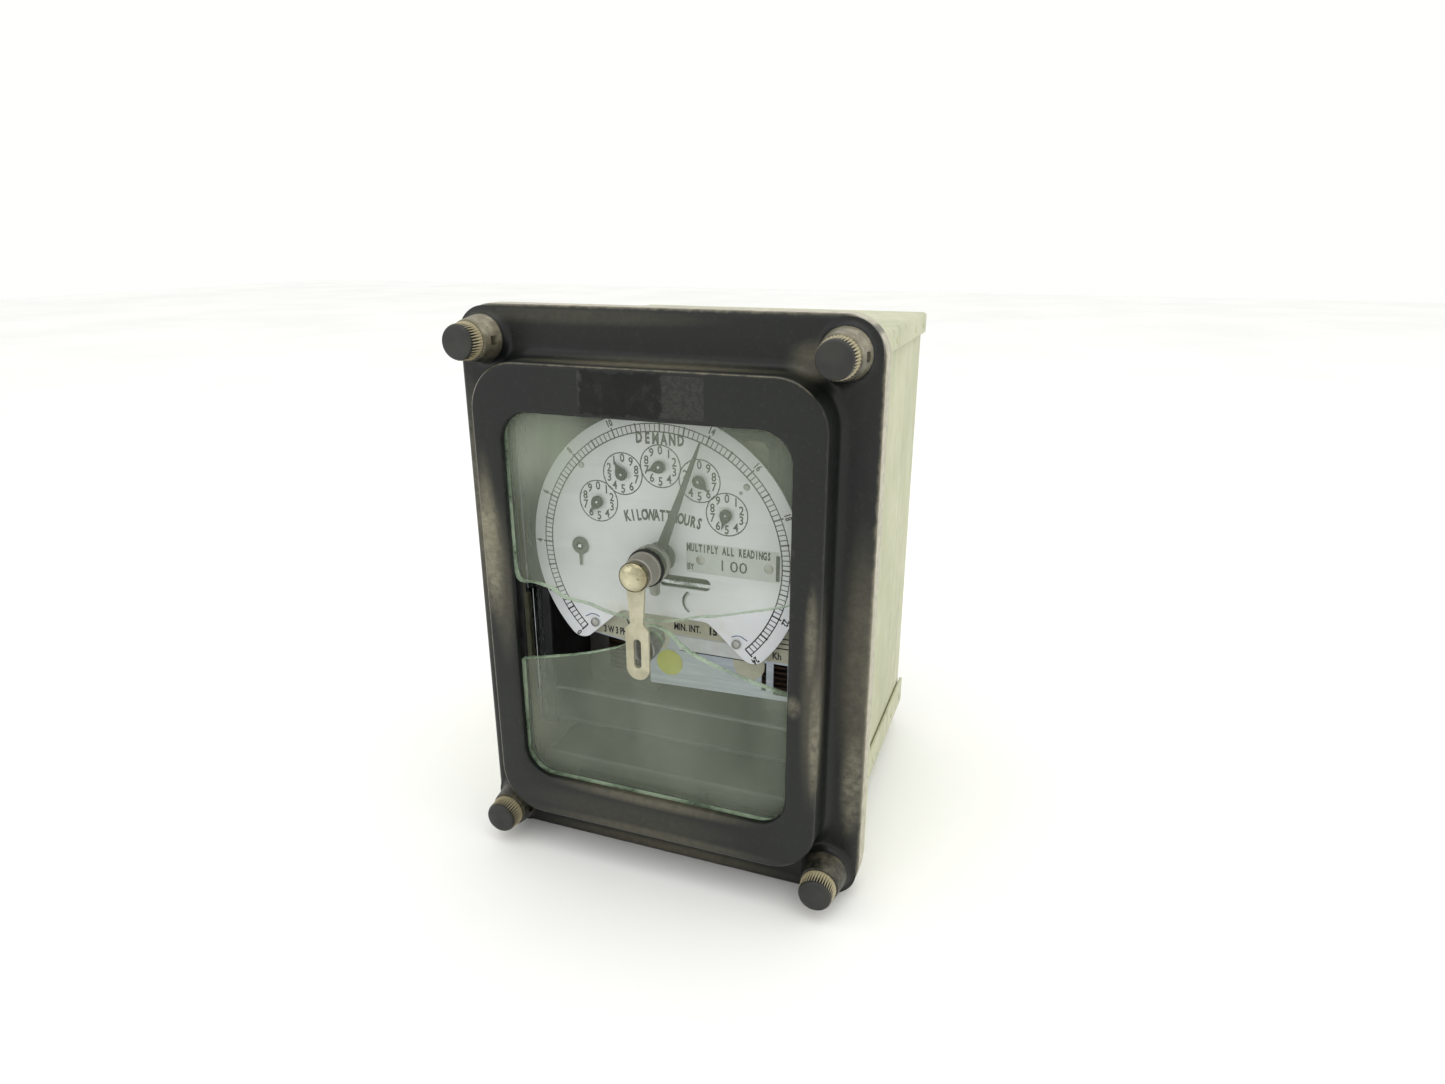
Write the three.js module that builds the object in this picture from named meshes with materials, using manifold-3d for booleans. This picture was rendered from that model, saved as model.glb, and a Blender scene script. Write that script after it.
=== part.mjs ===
// Switchboard demand watthour meter in a drawout case, with a removable front cover.
// Units are millimetres, +Z is up and the dial faces -Y.
// Depths (names ending in _Y) are measured back from the front face of the cover's raised frame,
// heights (names ending in _Z) from the middle of the cover. The group at the end moves that
// frame so that the origin is the bottom centre of the whole meter.
import * as THREE from 'three';
import { mergeVertices } from 'three/addons/utils/BufferGeometryUtils.js';
import Module from 'manifold-3d';

// ---- Driving dimensions: clearances ----
const GAP = 0.3;              // between pieces that touch
const RUN_GAP = 0.4;          // radial, round pieces that turn in a bore
const SLIDE_GAP = 0.8;        // sides of pieces that slide past each other

// ---- Driving dimensions: cover ----
const COVER_W = 168.3;
const COVER_H = 231.8;
const COVER_CORNER_R = 15;
const RAISED_W = 139.3;
const RAISED_H = 193.1;
const RAISED_CORNER_R = 19;
const WINDOW_W = 115;
const WINDOW_H = 155.9;
const WINDOW_CORNER_R = 12;
const COVER_WALL = 2.9;
const FLANGE_FRONT_Y = 16;
const COVER_RIM_DEPTH = 10.4;
const GASKET_T = 1;
const GASKET_W = 5;
const GLASS_T = 3;
const GLASS_LAP = 1.8;        // how far the panes reach behind the window edge
const GLASS_GASKET_T = 1.1;
const RETAINER_T = 1.5;
const COVER_CHAMFER = 2;
const RAISED_CHAMFER = 1.8;
const GASKET_INSET = 0.7;     // the gasket's edge, in from the cover's
const FELT_INSET = 0.5;       // the felt's and retainer's edge, in from the raised frame's inside
const FELT_SETBACK = 1;       // the same pieces' opening, out from the window's edge
const INNER_CORNER_STEP = 4;  // how much tighter the inner corners are than the outer ones
// Broken edges of the two panes between their sides, left to right above and right to left below.
const UPPER_BREAK = [
  [-50, 8.2], [-42.5, 6.5], [-37.5, 3.6], [-26, 2.2], [-17, -0.2], [-6, -1.2], [8, 0], [20.7, 3.7], [27, 4.8],
  [37, 7.6], [50, 11.3],
];
const LOWER_BREAK = [
  [46.5, -20.4], [33.4, -17.2], [21.8, -13.6], [13.8, -9.6], [8, -4.6], [1, -2.6], [-7, -5.6], [-10, -12],
  [-20.5, -16.7], [-34.5, -21.1], [-52, -25.2],
];
const UPPER_BREAK_RIGHT_Z = 14.5;
const UPPER_CHIP = { topZ: 26, bottomZ: 9.4, depth: 1.2 };  // missing from the upper pane's left side
const LOWER_BREAK_RIGHT_Z = -23;
const LOWER_BREAK_LEFT = { z: -26.6, depth: 0.6 };

// ---- Driving dimensions: cover fastenings ----
const STUD_INSET_X = 12.85;   // from the cover's side to the stud
const STUD_INSET_Z = 12.9;    // from the cover's top to the stud
const STUD_R = 2.3;
const BOSS_FRONT_R = 8;
const BOSS_BASE_R = 9.5;
const BOSS_HEIGHT = 11.7;
const NUT_HEIGHT = 7;
const NUT_R = 7.4;
const NUT_KNURLS = 24;
const NUT_KNURL_DEPTH = 0.55;
const NUT_NECK_R = 5;
const NUT_NECK_LENGTH = 5;
const NUT_FACE_STEP = 0.6;    // the plain face stands proud of the knurling
const NUT_SKIN = 2.4;         // metal left in front of the blind bore
const STUD_SHY = 3;           // the stud's tip, back from the nut's face
const STUD_HEAD_R = 4;
const BORE_END_GAP = 0.6;     // below the nut's neck
const SEAL_SLOT_W = 3.4;
const SEAL_SLOT_D = 3;

// ---- Driving dimensions: reset mechanism ----
const RESET_Z = 21.5;         // also the centre of the dial and the axis of its pointer
const RESET_SHAFT_R = 2.2;
const RESET_KNOB_R = 5.9;
const RESET_KNOB_HEIGHT = 3.5;
const RESET_BUSHING_FRONT_R = 6.1;
const RESET_BUSHING_R = 6.8;
const RESET_BUSHING_LENGTH = 7;
const RESET_NECK_R = 4.8;
const RESET_NUT_T = 2.6;
const RESET_NUT_R = 7.4;
const LEVER_LENGTH = 42.4;
const LEVER_T = 1.4;
const LEVER_ARM_W = 5.4;
const LEVER_PAD_W = 9.7;
const LEVER_PAD_LENGTH = 21;
const LEVER_SLOT_W = 3;
const LEVER_SLOT_LENGTH = 12;
const SEAL_POST_R = 5.4;
const SEAL_POST_Z = -10;
const RESET_ARM_LENGTH = 12;
const RESET_ARM_T = 1.4;
const RESET_ARM_W = 4;
const RESET_ARM_HUB_R = 4.6;
const RESET_ARM_DROP = 2;     // the limb's top, below the shaft
const SHAFT_PROUD = 0.6;
const KNOB_RIM = 0.8;
const KNOB_SOCKET = 2.1;
const WASHER_T = 0.8;
const WASHER_LAP = 0.8;
const LEVER_SHOULDER = 2.4;
const LEVER_EYE_WALL = 1.6;
const SEAL_POST_SETBACK = 2.6;
const SEAL_POST_SLOT_W = 1.2;
const SEAL_POST_TAIL = 3.6;
const SEAL_POST_STEP = 1;

// ---- Driving dimensions: case ----
const CASE_W = 144;
const CASE_H = 210;
const CASE_DEPTH = 140;
const CASE_SHEET = 1.5;
const CASE_FLANGE_T = 1.6;
const CASE_BEND_R = 4;
const RAIL_LOW_Z = -58;
const RAIL_HIGH_Z = 74;
const RAIL_H = 10;
const RAIL_SETBACK = 8;       // from the case's front
const RAIL_BACK_CLEAR = 12;
const RAIL_WEB = { t: 1.2, start: 20, end: 40 };
const FLANGE_INSET = 0.3;     // the mounting flange's edge, in from the cover's
const FLANGE_OPENING_SIDE = 3;
const FLANGE_OPENING_END = 5;
const LIP_TOP = 8;
const LIP_BOTTOM = 13;
const TERMINAL_W = 110;
const TERMINAL_H = 44;
const TERMINAL_Z = -70;
const TERMINAL_DEPTH = 21;
const TERMINAL_PROUD = 3;
const TERMINAL_COLUMNS = 5;
const TERMINAL_PITCH = 20;
const TERMINAL_STUD_R = 2.5;
const TERMINAL_STUD_OUT = 13;
const TERMINAL_REBATE = 4;    // the block's shoulder behind the case's back
const TERMINAL_STRIP_H = 32;
const TERMINAL_NUT_R = 5;
const TERMINAL_NUT_LENGTH = 5;
const JAW_CLEAR = 6;          // in front of and behind the contact block
const JAW_MARGIN = 4;         // above and below it
const JAW_SLOT_W = 8.8;
const JAW_SLOT_H = 4.4;

// ---- Driving dimensions: meter element and its cradle ----
const CRADLE_W = 132;
const CRADLE_TOP_Z = 92;
const CRADLE_BOTTOM_Z = -68;
const CRADLE_FRONT_Y = 26;
const CRADLE_DEPTH = 112;
const CRADLE_SHEET = 2;
const CRADLE_RETURN = 9;
const DIAL_FRONT_Y = 19.2;
const DIAL_T = 0.8;
const DIAL_R = 57.2;
const DIAL_LOBE_R = 6.2;
const DIAL_LOBE_ANGLE = 42.5; // degrees below the horizontal
const DIAL_WAIST_Z = -4.3;
const DIAL_FLANK_ANGLE = 42;
const DIAL_SLOT = { w: 22, h: 5, r: 2.3, x: 9.2, z: 11.3 };
const DIAL_CRESCENT = { x: 13.2, z: 3.4, r: 4.2, w: 2, from: 125, to: 235 };
const DIAL_SCREW = { x: 31, z: -11.6, r: 1.9, height: 1.3 };
const REGISTER_FRONT_Y = 23;
const REGISTER_PLATE_T = 1.5;
const REGISTER_SPACE = 13.4;
const REGISTER_W = 84;
const REGISTER_H = 70;
const REGISTER_Z = 34;
const REGISTER_CORNER_R = 4;
const POST_R = 2.2;
const POST_INSET = 4.5;
const PUSHER = { left: -6, right: 26, bottom: 9.6, top: 11.2, t: 1.4 };
const GEAR_R = 14.1;
const GEAR_TEETH = 30;
const GEAR_T = 1.2;
const GEAR_PLANE_STEP = 3;
const PINION_R = 1.9;
const PINION_TEETH = 8;
const MOTOR = { x: -30, z: 50, r: 17, noseR: 9, body: 14, depth: 18 };
const NAMEPLATE_Y = 23;
const NAMEPLATE_T = 0.8;
// Seen from the front: a shallow wing on the left, a deep panel on the right with two openings.
const NAMEPLATE_OUTLINE = [[-40, -4.6], [-40, -17.4], [-8.5, -21.6], [-8.5, -37], [56, -35], [56, -4.6]];
const NAMEPLATE_OPENINGS = [[40.3, -32, 42.2, -19.8], [45.2, -33.2, 51, -19.5]];
const LATCH = { inset: 2.4, t: 1.2, depth: 6, top: 84, jogTop: -1, jogBottom: -3, bottom: -62 };
const DISC_R = 44;
const DISC_T = 1;
const DISC_Z = -30;
const ROTOR_Y = 80;
const ROTOR_SHAFT_R = 1.6;
const ROTOR_TOP_Z = 18;
const ROTOR_BOTTOM_Z = -60;
const DISC_AIR = 3;           // from the disc's middle plane to a pole or magnet face
const CORE_STACK = 26;
const POLE_W = 14;
const CORE_LIMB = 12;
const COIL_WALL = 8.5;
const COIL_CORNER_R = 5;
const POLE_IN_X = 26;
const CORE_WINDOW_H = 21;
const BEARING_R = 4.4;
const BEARING_BORE_R = 2;
const BEARING_ARM_W = 8;
const MAGNET_W = 32;
const MAGNET_JAW_H = 12;
const MAGNET_FRONT = 24;      // back from the rotor's axis
const WORM_PITCH = 2.5;
const WORM_TURNS = 4;
const WORM_DEPTH = 0.7;
const WORM_BOTTOM_Z = 3;
const WORM_R = 2.8;
const WHEEL_R = 8.5;
const WHEEL_TEETH = 25;
const WHEEL_Z = 8;
const PLUG_W = 112;
const PLUG_H = 18;
const PLUG_Z = -82;
const PLUG_FRONT_Y = 13;
const PLUG_DEPTH = 33;
const PLUG_BLADES = 8;
const BLADE_PITCH = 13;
const BLADE_LENGTH = 26;
const BLADE_W = 7.2;
const BLADE_T = 2;
const PLUG_GRIP = { w: 24, h: 9, x: 30, depth: 16 };

// Register arbors, left to right: place, and the numbering's direction.
const ARBORS = [
  { x: -27, z: 41 },
  { x: -16, z: 53 },
  { x: 0, z: 57.3 },
  { x: 16, z: 53 },
  { x: 27, z: 41 },
];
// Where each register pointer points at rest, in degrees from straight up, clockwise.
const ARBOR_REST = [214, 330, 250, 132, 196];
const INTERVAL = { x: -36, z: RESET_Z };
const ARBOR_R = 1.1;
const DEMAND_ARBOR_R = 1.5;
const ARBOR_POINTER = 6;
const DEMAND_REST = 69;       // degrees above +X
const DEMAND_POINTER = 51.5;
const DEMAND_HUB_R = 4.7;
const INTERVAL_R = 3.7;
const INTERVAL_TAIL = 8.6;

// ---- Depths worked out from the above ----
const COVER_BACK_Y = FLANGE_FRONT_Y + COVER_RIM_DEPTH;
const GASKET_Y = COVER_BACK_Y + GAP;
const CASE_FLANGE_Y = GASKET_Y + GASKET_T + GAP;
const CASE_FRONT_Y = CASE_FLANGE_Y + CASE_FLANGE_T + GAP;
const CASE_BACK_Y = CASE_FRONT_Y + CASE_DEPTH;
const GLASS_GASKET_Y = COVER_WALL + GAP;
const GLASS_Y = GLASS_GASKET_Y + GLASS_GASKET_T + GAP;
const GLASS_BACK_Y = GLASS_Y + GLASS_T;
const RETAINER_Y = GLASS_BACK_Y + GAP;
const STUD_X = COVER_W / 2 - STUD_INSET_X;
const STUD_Z = COVER_H / 2 - STUD_INSET_Z;
const BOSS_FRONT_Y = FLANGE_FRONT_Y - BOSS_HEIGHT;
const NUT_FRONT_Y = BOSS_FRONT_Y - GAP - NUT_HEIGHT;
const CASE_OUT_X = CASE_W / 2;
const CASE_OUT_Z = CASE_H / 2;
const CRADLE_OUT_X = CRADLE_W / 2;
const CRADLE_BACK_Y = CRADLE_FRONT_Y + CRADLE_DEPTH;
const REGISTER_BACK_Y = REGISTER_FRONT_Y + REGISTER_PLATE_T + REGISTER_SPACE;
const WASHER_Y = GLASS_Y - GAP - WASHER_T;
const BUSHING_SHOULDER_Y = WASHER_Y - GAP;
const BUSHING_FRONT_Y = BUSHING_SHOULDER_Y - RESET_BUSHING_LENGTH;
const LEVER_Y = BUSHING_FRONT_Y - GAP - LEVER_T;
const KNOB_BACK_Y = LEVER_Y - GAP;
const KNOB_FRONT_Y = KNOB_BACK_Y - RESET_KNOB_HEIGHT;
const RESET_NUT_Y = GLASS_BACK_Y + GAP;
const RESET_ARM_Y = RESET_NUT_Y + RESET_NUT_T + GAP;
const WHEEL_X = WORM_R + WHEEL_R + GAP;
const TERMINAL_BACK_Y = CASE_BACK_Y + TERMINAL_PROUD;
const STUD_END_Y = TERMINAL_BACK_Y + TERMINAL_STUD_OUT;

const wasm = await Module();
wasm.setup();

// ---- Materials ----
function finish(color, roughness, metalness) {
  return new THREE.MeshStandardMaterial({ color, roughness, metalness });
}
const blackPaint = finish(0x3c3d38, 0.45, 0.1);
const casePaint = finish(0xcdceb2, 0.55, 0.1);
const darkSteel = finish(0x4a4c4a, 0.5, 0.7);
const nickel = finish(0xc9c4a4, 0.25, 1);
const greyMetal = finish(0x8c8c8a, 0.45, 0.8);
const leverMetal = finish(0xc2bfa6, 0.4, 0.8);
const brass = finish(0xb59a54, 0.35, 1);
const glassFinish = finish(0xcfe6d6, 0.08, 0);
const rubberFinish = finish(0x22231f, 0.85, 0);
const dialWhite = finish(0xdfe2df, 0.5, 0);
const phenolic = finish(0x1f1e1c, 0.4, 0);
const plateSilver = finish(0xaeb6b8, 0.4, 0.7);
const lamination = finish(0x6b6a66, 0.6, 0.8);
const copper = finish(0x9c5a3a, 0.45, 0.8);
const coilTape = finish(0x2b2620, 0.8, 0);
const aluminium = finish(0xc8cacb, 0.35, 1);
const magnetGrey = finish(0x565a5c, 0.5, 0.6);

// ---- Geometry helpers ----
// Outlines are drawn as seen from the front: x to the right, y up.
function roundedRect(w, h, r, cx = 0, cz = 0) {
  const shape = new THREE.Shape();
  const x = w / 2;
  const z = h / 2;
  shape.absarc(cx + x - r, cz + z - r, r, 0, Math.PI / 2, false);
  shape.absarc(cx - x + r, cz + z - r, r, Math.PI / 2, Math.PI, false);
  shape.absarc(cx - x + r, cz - z + r, r, Math.PI, 1.5 * Math.PI, false);
  shape.absarc(cx + x - r, cz - z + r, r, 1.5 * Math.PI, 2 * Math.PI, false);
  shape.closePath();
  return shape;
}

function rect(x0, z0, x1, z1) {
  return polygon([[x0, z0], [x1, z0], [x1, z1], [x0, z1]]);
}

// Points along an arc, angles in radians anticlockwise from +X.
function arc(cx, cz, r, from, to, steps) {
  const points = [];
  for (let i = 0; i <= steps; i += 1) {
    const angle = from + (to - from) * i / steps;
    points.push([cx + r * Math.cos(angle), cz + r * Math.sin(angle)]);
  }
  return points;
}

function polygon(points) {
  return new THREE.Shape(points.map(([x, y]) => new THREE.Vector2(x, y)));
}

// A round outline as a polygon that never cuts inside its radius.
function disc(x, z, r, sides = 14) {
  const reach = r / Math.cos(Math.PI / sides);
  const points = [];
  for (let i = 0; i < sides; i += 1) {
    const angle = 2 * Math.PI * i / sides;
    points.push([x + reach * Math.cos(angle), z + reach * Math.sin(angle)]);
  }
  return polygon(points);
}

// A front-view outline made into a plate from depth y0 back to y1.
function frontPlate(shape, y0, y1, curveSegments = 6) {
  const geometry = new THREE.ExtrudeGeometry(shape, { depth: y1 - y0, bevelEnabled: false, curveSegments });
  return geometry.rotateX(Math.PI / 2).translate(0, y1, 0);
}

// The same with its front and back edges chamfered.
function softPlate(shape, y0, y1, edge, curveSegments = 6) {
  const geometry = new THREE.ExtrudeGeometry(shape, {
    depth: y1 - y0 - 2 * edge,
    bevelEnabled: true,
    bevelThickness: edge,
    bevelSize: edge,
    bevelOffset: -edge,
    bevelSegments: 2,
    curveSegments,
  });
  return geometry.rotateX(Math.PI / 2).translate(0, y1 - edge, 0);
}

// A plan-view outline (x right, y back) made into a slab from height z0 up to z1.
function planSlab(shape, z0, z1, curveSegments = 6) {
  const geometry = new THREE.ExtrudeGeometry(shape, { depth: z1 - z0, bevelEnabled: false, curveSegments });
  return geometry.translate(0, 0, z0);
}

function box(x0, x1, y0, y1, z0, z1) {
  const geometry = new THREE.BoxGeometry(x1 - x0, y1 - y0, z1 - z0);
  return geometry.translate((x0 + x1) / 2, (y0 + y1) / 2, (z0 + z1) / 2);
}

// A turned piece about an axis along Y, from (radius, y) points that start and end on the axis.
function turned(points, x = 0, z = 0, segments = 24) {
  const profile = points.map(([r, y]) => new THREE.Vector2(r, y));
  return new THREE.LatheGeometry(profile, segments).translate(x, 0, z);
}

function rod(r, y0, y1, x = 0, z = 0, segments = 20) {
  return turned([[0, y0], [r, y0], [r, y1], [0, y1]], x, z, segments);
}

// A tube about an axis along Y: a closed profile that never meets the axis.
function tube(rInner, rOuter, y0, y1, x = 0, z = 0, segments = 24) {
  return turned([[rInner, y0], [rOuter, y0], [rOuter, y1], [rInner, y1], [rInner, y0]], x, z, segments);
}

// A turned piece about a vertical axis, from (radius, z) points.
function turnedUpright(points, x, y, segments = 32) {
  const profile = points.map(([r, z]) => new THREE.Vector2(r, z));
  return new THREE.LatheGeometry(profile, segments).rotateX(Math.PI / 2).translate(x, y, 0);
}

function toSolid(geometry) {
  const bare = geometry.clone();
  bare.deleteAttribute('normal');
  bare.deleteAttribute('uv');
  const merged = mergeVertices(bare, 1e-4);
  return new wasm.Manifold(new wasm.Mesh({
    numProp: 3,
    vertProperties: new Float32Array(merged.attributes.position.array),
    triVerts: new Uint32Array(merged.index.array),
  }));
}

function toGeometry(solid) {
  const mesh = solid.getMesh();
  const geometry = new THREE.BufferGeometry();
  geometry.setAttribute('position', new THREE.BufferAttribute(mesh.vertProperties, 3));
  geometry.setIndex(new THREE.BufferAttribute(mesh.triVerts, 1));
  return geometry;
}

function join(first, ...others) {
  return toGeometry(others.reduce((solid, other) => solid.add(toSolid(other)), toSolid(first)));
}

function cut(first, ...others) {
  return toGeometry(others.reduce((solid, other) => solid.subtract(toSolid(other)), toSolid(first)));
}

const corners = [
  { name: 'top_left', x: -STUD_X, z: STUD_Z, slotTurn: 0 },
  { name: 'top_right', x: STUD_X, z: STUD_Z, slotTurn: 0 },
  { name: 'bottom_left', x: -STUD_X, z: -STUD_Z, slotTurn: 0 },
  { name: 'bottom_right', x: STUD_X, z: -STUD_Z, slotTurn: Math.PI / 6 },
];

const meter = new THREE.Group();

function add(name, geometry, material) {
  const mesh = new THREE.Mesh(geometry, material);
  mesh.name = name;
  meter.add(mesh);
  return mesh;
}

// ---- Case ----
function buildCase() {
  const wrapOut = CASE_OUT_X;
  const wrapIn = wrapOut - CASE_SHEET;
  const backOut = CASE_BACK_Y;
  const backIn = backOut - CASE_SHEET;
  const bend = CASE_BEND_R;
  const innerBend = bend - CASE_SHEET;
  const plan = new THREE.Shape();
  plan.moveTo(-wrapOut, CASE_FRONT_Y);
  plan.lineTo(-wrapIn, CASE_FRONT_Y);
  plan.absarc(-wrapIn + innerBend, backIn - innerBend, innerBend, Math.PI, Math.PI / 2, true);
  plan.absarc(wrapIn - innerBend, backIn - innerBend, innerBend, Math.PI / 2, 0, true);
  plan.lineTo(wrapIn, CASE_FRONT_Y);
  plan.lineTo(wrapOut, CASE_FRONT_Y);
  plan.absarc(wrapOut - bend, backOut - bend, bend, 0, Math.PI / 2, false);
  plan.absarc(-wrapOut + bend, backOut - bend, bend, Math.PI / 2, Math.PI, false);
  plan.closePath();
  const capZ = CASE_OUT_Z - CASE_SHEET;
  const wrapper = planSlab(plan, -capZ + GAP, capZ - GAP, 4);
  const holeW = TERMINAL_W - 2 * TERMINAL_REBATE;
  const holeH = TERMINAL_H - 2 * TERMINAL_REBATE;
  const terminalHole = frontPlate(roundedRect(holeW, holeH, 3, 0, TERMINAL_Z), backIn - 1, backOut + 1, 3);
  add('case_wrapper', cut(wrapper, terminalHole), casePaint);

  const lipIn = wrapOut + GAP;
  const lipOut = lipIn + CASE_SHEET;
  for (const [name, side, lip] of [['case_top_cap', 1, LIP_TOP], ['case_bottom_cap', -1, LIP_BOTTOM]]) {
    const lipEnd = capZ - lip;
    const outline = [
      [-lipOut, lipEnd], [-lipIn, lipEnd], [-lipIn, capZ], [lipIn, capZ], [lipIn, lipEnd], [lipOut, lipEnd],
      [lipOut, CASE_OUT_Z - 1], [lipOut - 1, CASE_OUT_Z], [-lipOut + 1, CASE_OUT_Z], [-lipOut, CASE_OUT_Z - 1],
    ].map(([x, z]) => [x, z * side]);
    if (side < 0) outline.reverse();
    add(name, frontPlate(polygon(outline), CASE_FRONT_Y, CASE_BACK_Y), casePaint);
  }

  // The mounting flange, with the four cover studs riveted into it.
  const flange = roundedRect(COVER_W - 2 * FLANGE_INSET, COVER_H - 2 * FLANGE_INSET, COVER_CORNER_R);
  flange.holes.push(roundedRect(CRADLE_W + 2 * FLANGE_OPENING_SIDE, CASE_H - 2 * FLANGE_OPENING_END, 3));
  const flangePlate = frontPlate(flange, CASE_FLANGE_Y, CASE_FLANGE_Y + CASE_FLANGE_T);
  const studTip = NUT_FRONT_Y + STUD_SHY;
  const studSolids = corners.map(({ x, z }) => turned([
    [0, studTip], [STUD_R - 0.5, studTip], [STUD_R, studTip + 0.5], [STUD_R, GASKET_Y],
    [STUD_HEAD_R, GASKET_Y], [STUD_HEAD_R, CASE_FLANGE_Y + 0.5], [0, CASE_FLANGE_Y + 0.5],
  ], x, z, 10));
  add('case_flange', join(flangePlate, ...studSolids), casePaint);

  // A guide on each side wall, with two runners, carries the cradle.
  const railIn = CRADLE_OUT_X + SLIDE_GAP;
  const railOut = wrapIn - GAP;
  const railY0 = CASE_FRONT_Y + RAIL_SETBACK;
  const railY1 = backIn - RAIL_BACK_CLEAR;
  for (const [name, side] of [['cradle_rail_left', -1], ['cradle_rail_right', 1]]) {
    const span = (a, b) => [Math.min(side * a, side * b), Math.max(side * a, side * b)];
    const runnerX = span(railIn, railOut);
    const runners = [RAIL_LOW_Z, RAIL_HIGH_Z].map((z) => box(...runnerX, railY0, railY1, z, z + RAIL_H));
    const webX = span(railOut - RAIL_WEB.t, railOut);
    const web = box(...webX, railY0 + RAIL_WEB.start, railY0 + RAIL_WEB.end, RAIL_LOW_Z, RAIL_HIGH_Z + RAIL_H);
    add(name, join(...runners, web), darkSteel);
  }

  // Terminal block: through the case's back, bored for the terminal studs.
  const backY = TERMINAL_BACK_Y;
  const frontY = backY - TERMINAL_DEPTH;
  const shoulder = frontPlate(
    rect(-TERMINAL_W / 2, TERMINAL_Z - TERMINAL_H / 2, TERMINAL_W / 2, TERMINAL_Z + TERMINAL_H / 2),
    frontY, backIn - GAP);
  const nose = frontPlate(roundedRect(holeW - 1, holeH - 1, 3, 0, TERMINAL_Z), frontY + 2, backY, 3);
  const bores = [];
  const studs = [];
  for (let column = 0; column < TERMINAL_COLUMNS; column += 1) {
    const x = (column - (TERMINAL_COLUMNS - 1) / 2) * TERMINAL_PITCH;
    for (const z of [TERMINAL_Z - TERMINAL_PITCH / 2, TERMINAL_Z + TERMINAL_PITCH / 2]) {
      bores.push(rod(TERMINAL_STUD_R + RUN_GAP, frontY - 1, backY + 1, x, z, 8));
      const shank = rod(TERMINAL_STUD_R, frontY - 3, STUD_END_Y, x, z, 8);
      const nut = rod(TERMINAL_NUT_R, backY + GAP, backY + GAP + TERMINAL_NUT_LENGTH, x, z, 6);
      studs.push(join(shank, nut));
    }
  }
  add('terminal_block', cut(join(shoulder, nose), ...bores), phenolic);
  const strip = frontPlate(
    rect(-holeW / 2, TERMINAL_Z - TERMINAL_STRIP_H / 2, holeW / 2, TERMINAL_Z + TERMINAL_STRIP_H / 2),
    frontY - 2, frontY - GAP);
  add('terminal_studs', join(strip, ...studs), brass);

  // Contact block: fixed jaws that the connection plug's blades enter from the front.
  const jawY = PLUG_FRONT_Y + PLUG_DEPTH + JAW_CLEAR;
  const slots = [];
  for (let blade = 0; blade < PLUG_BLADES; blade += 1) {
    const x = (blade - (PLUG_BLADES - 1) / 2) * BLADE_PITCH;
    slots.push(box(
      x - JAW_SLOT_W / 2, x + JAW_SLOT_W / 2, jawY - 1, jawY + BLADE_LENGTH,
      PLUG_Z - JAW_SLOT_H / 2, PLUG_Z + JAW_SLOT_H / 2));
  }
  const jaws = box(
    -PLUG_W / 2, PLUG_W / 2, jawY, frontY - JAW_CLEAR, -CASE_OUT_Z + JAW_MARGIN, CRADLE_BOTTOM_Z - JAW_MARGIN);
  add('contact_block', cut(jaws, ...slots), phenolic);
}

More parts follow.
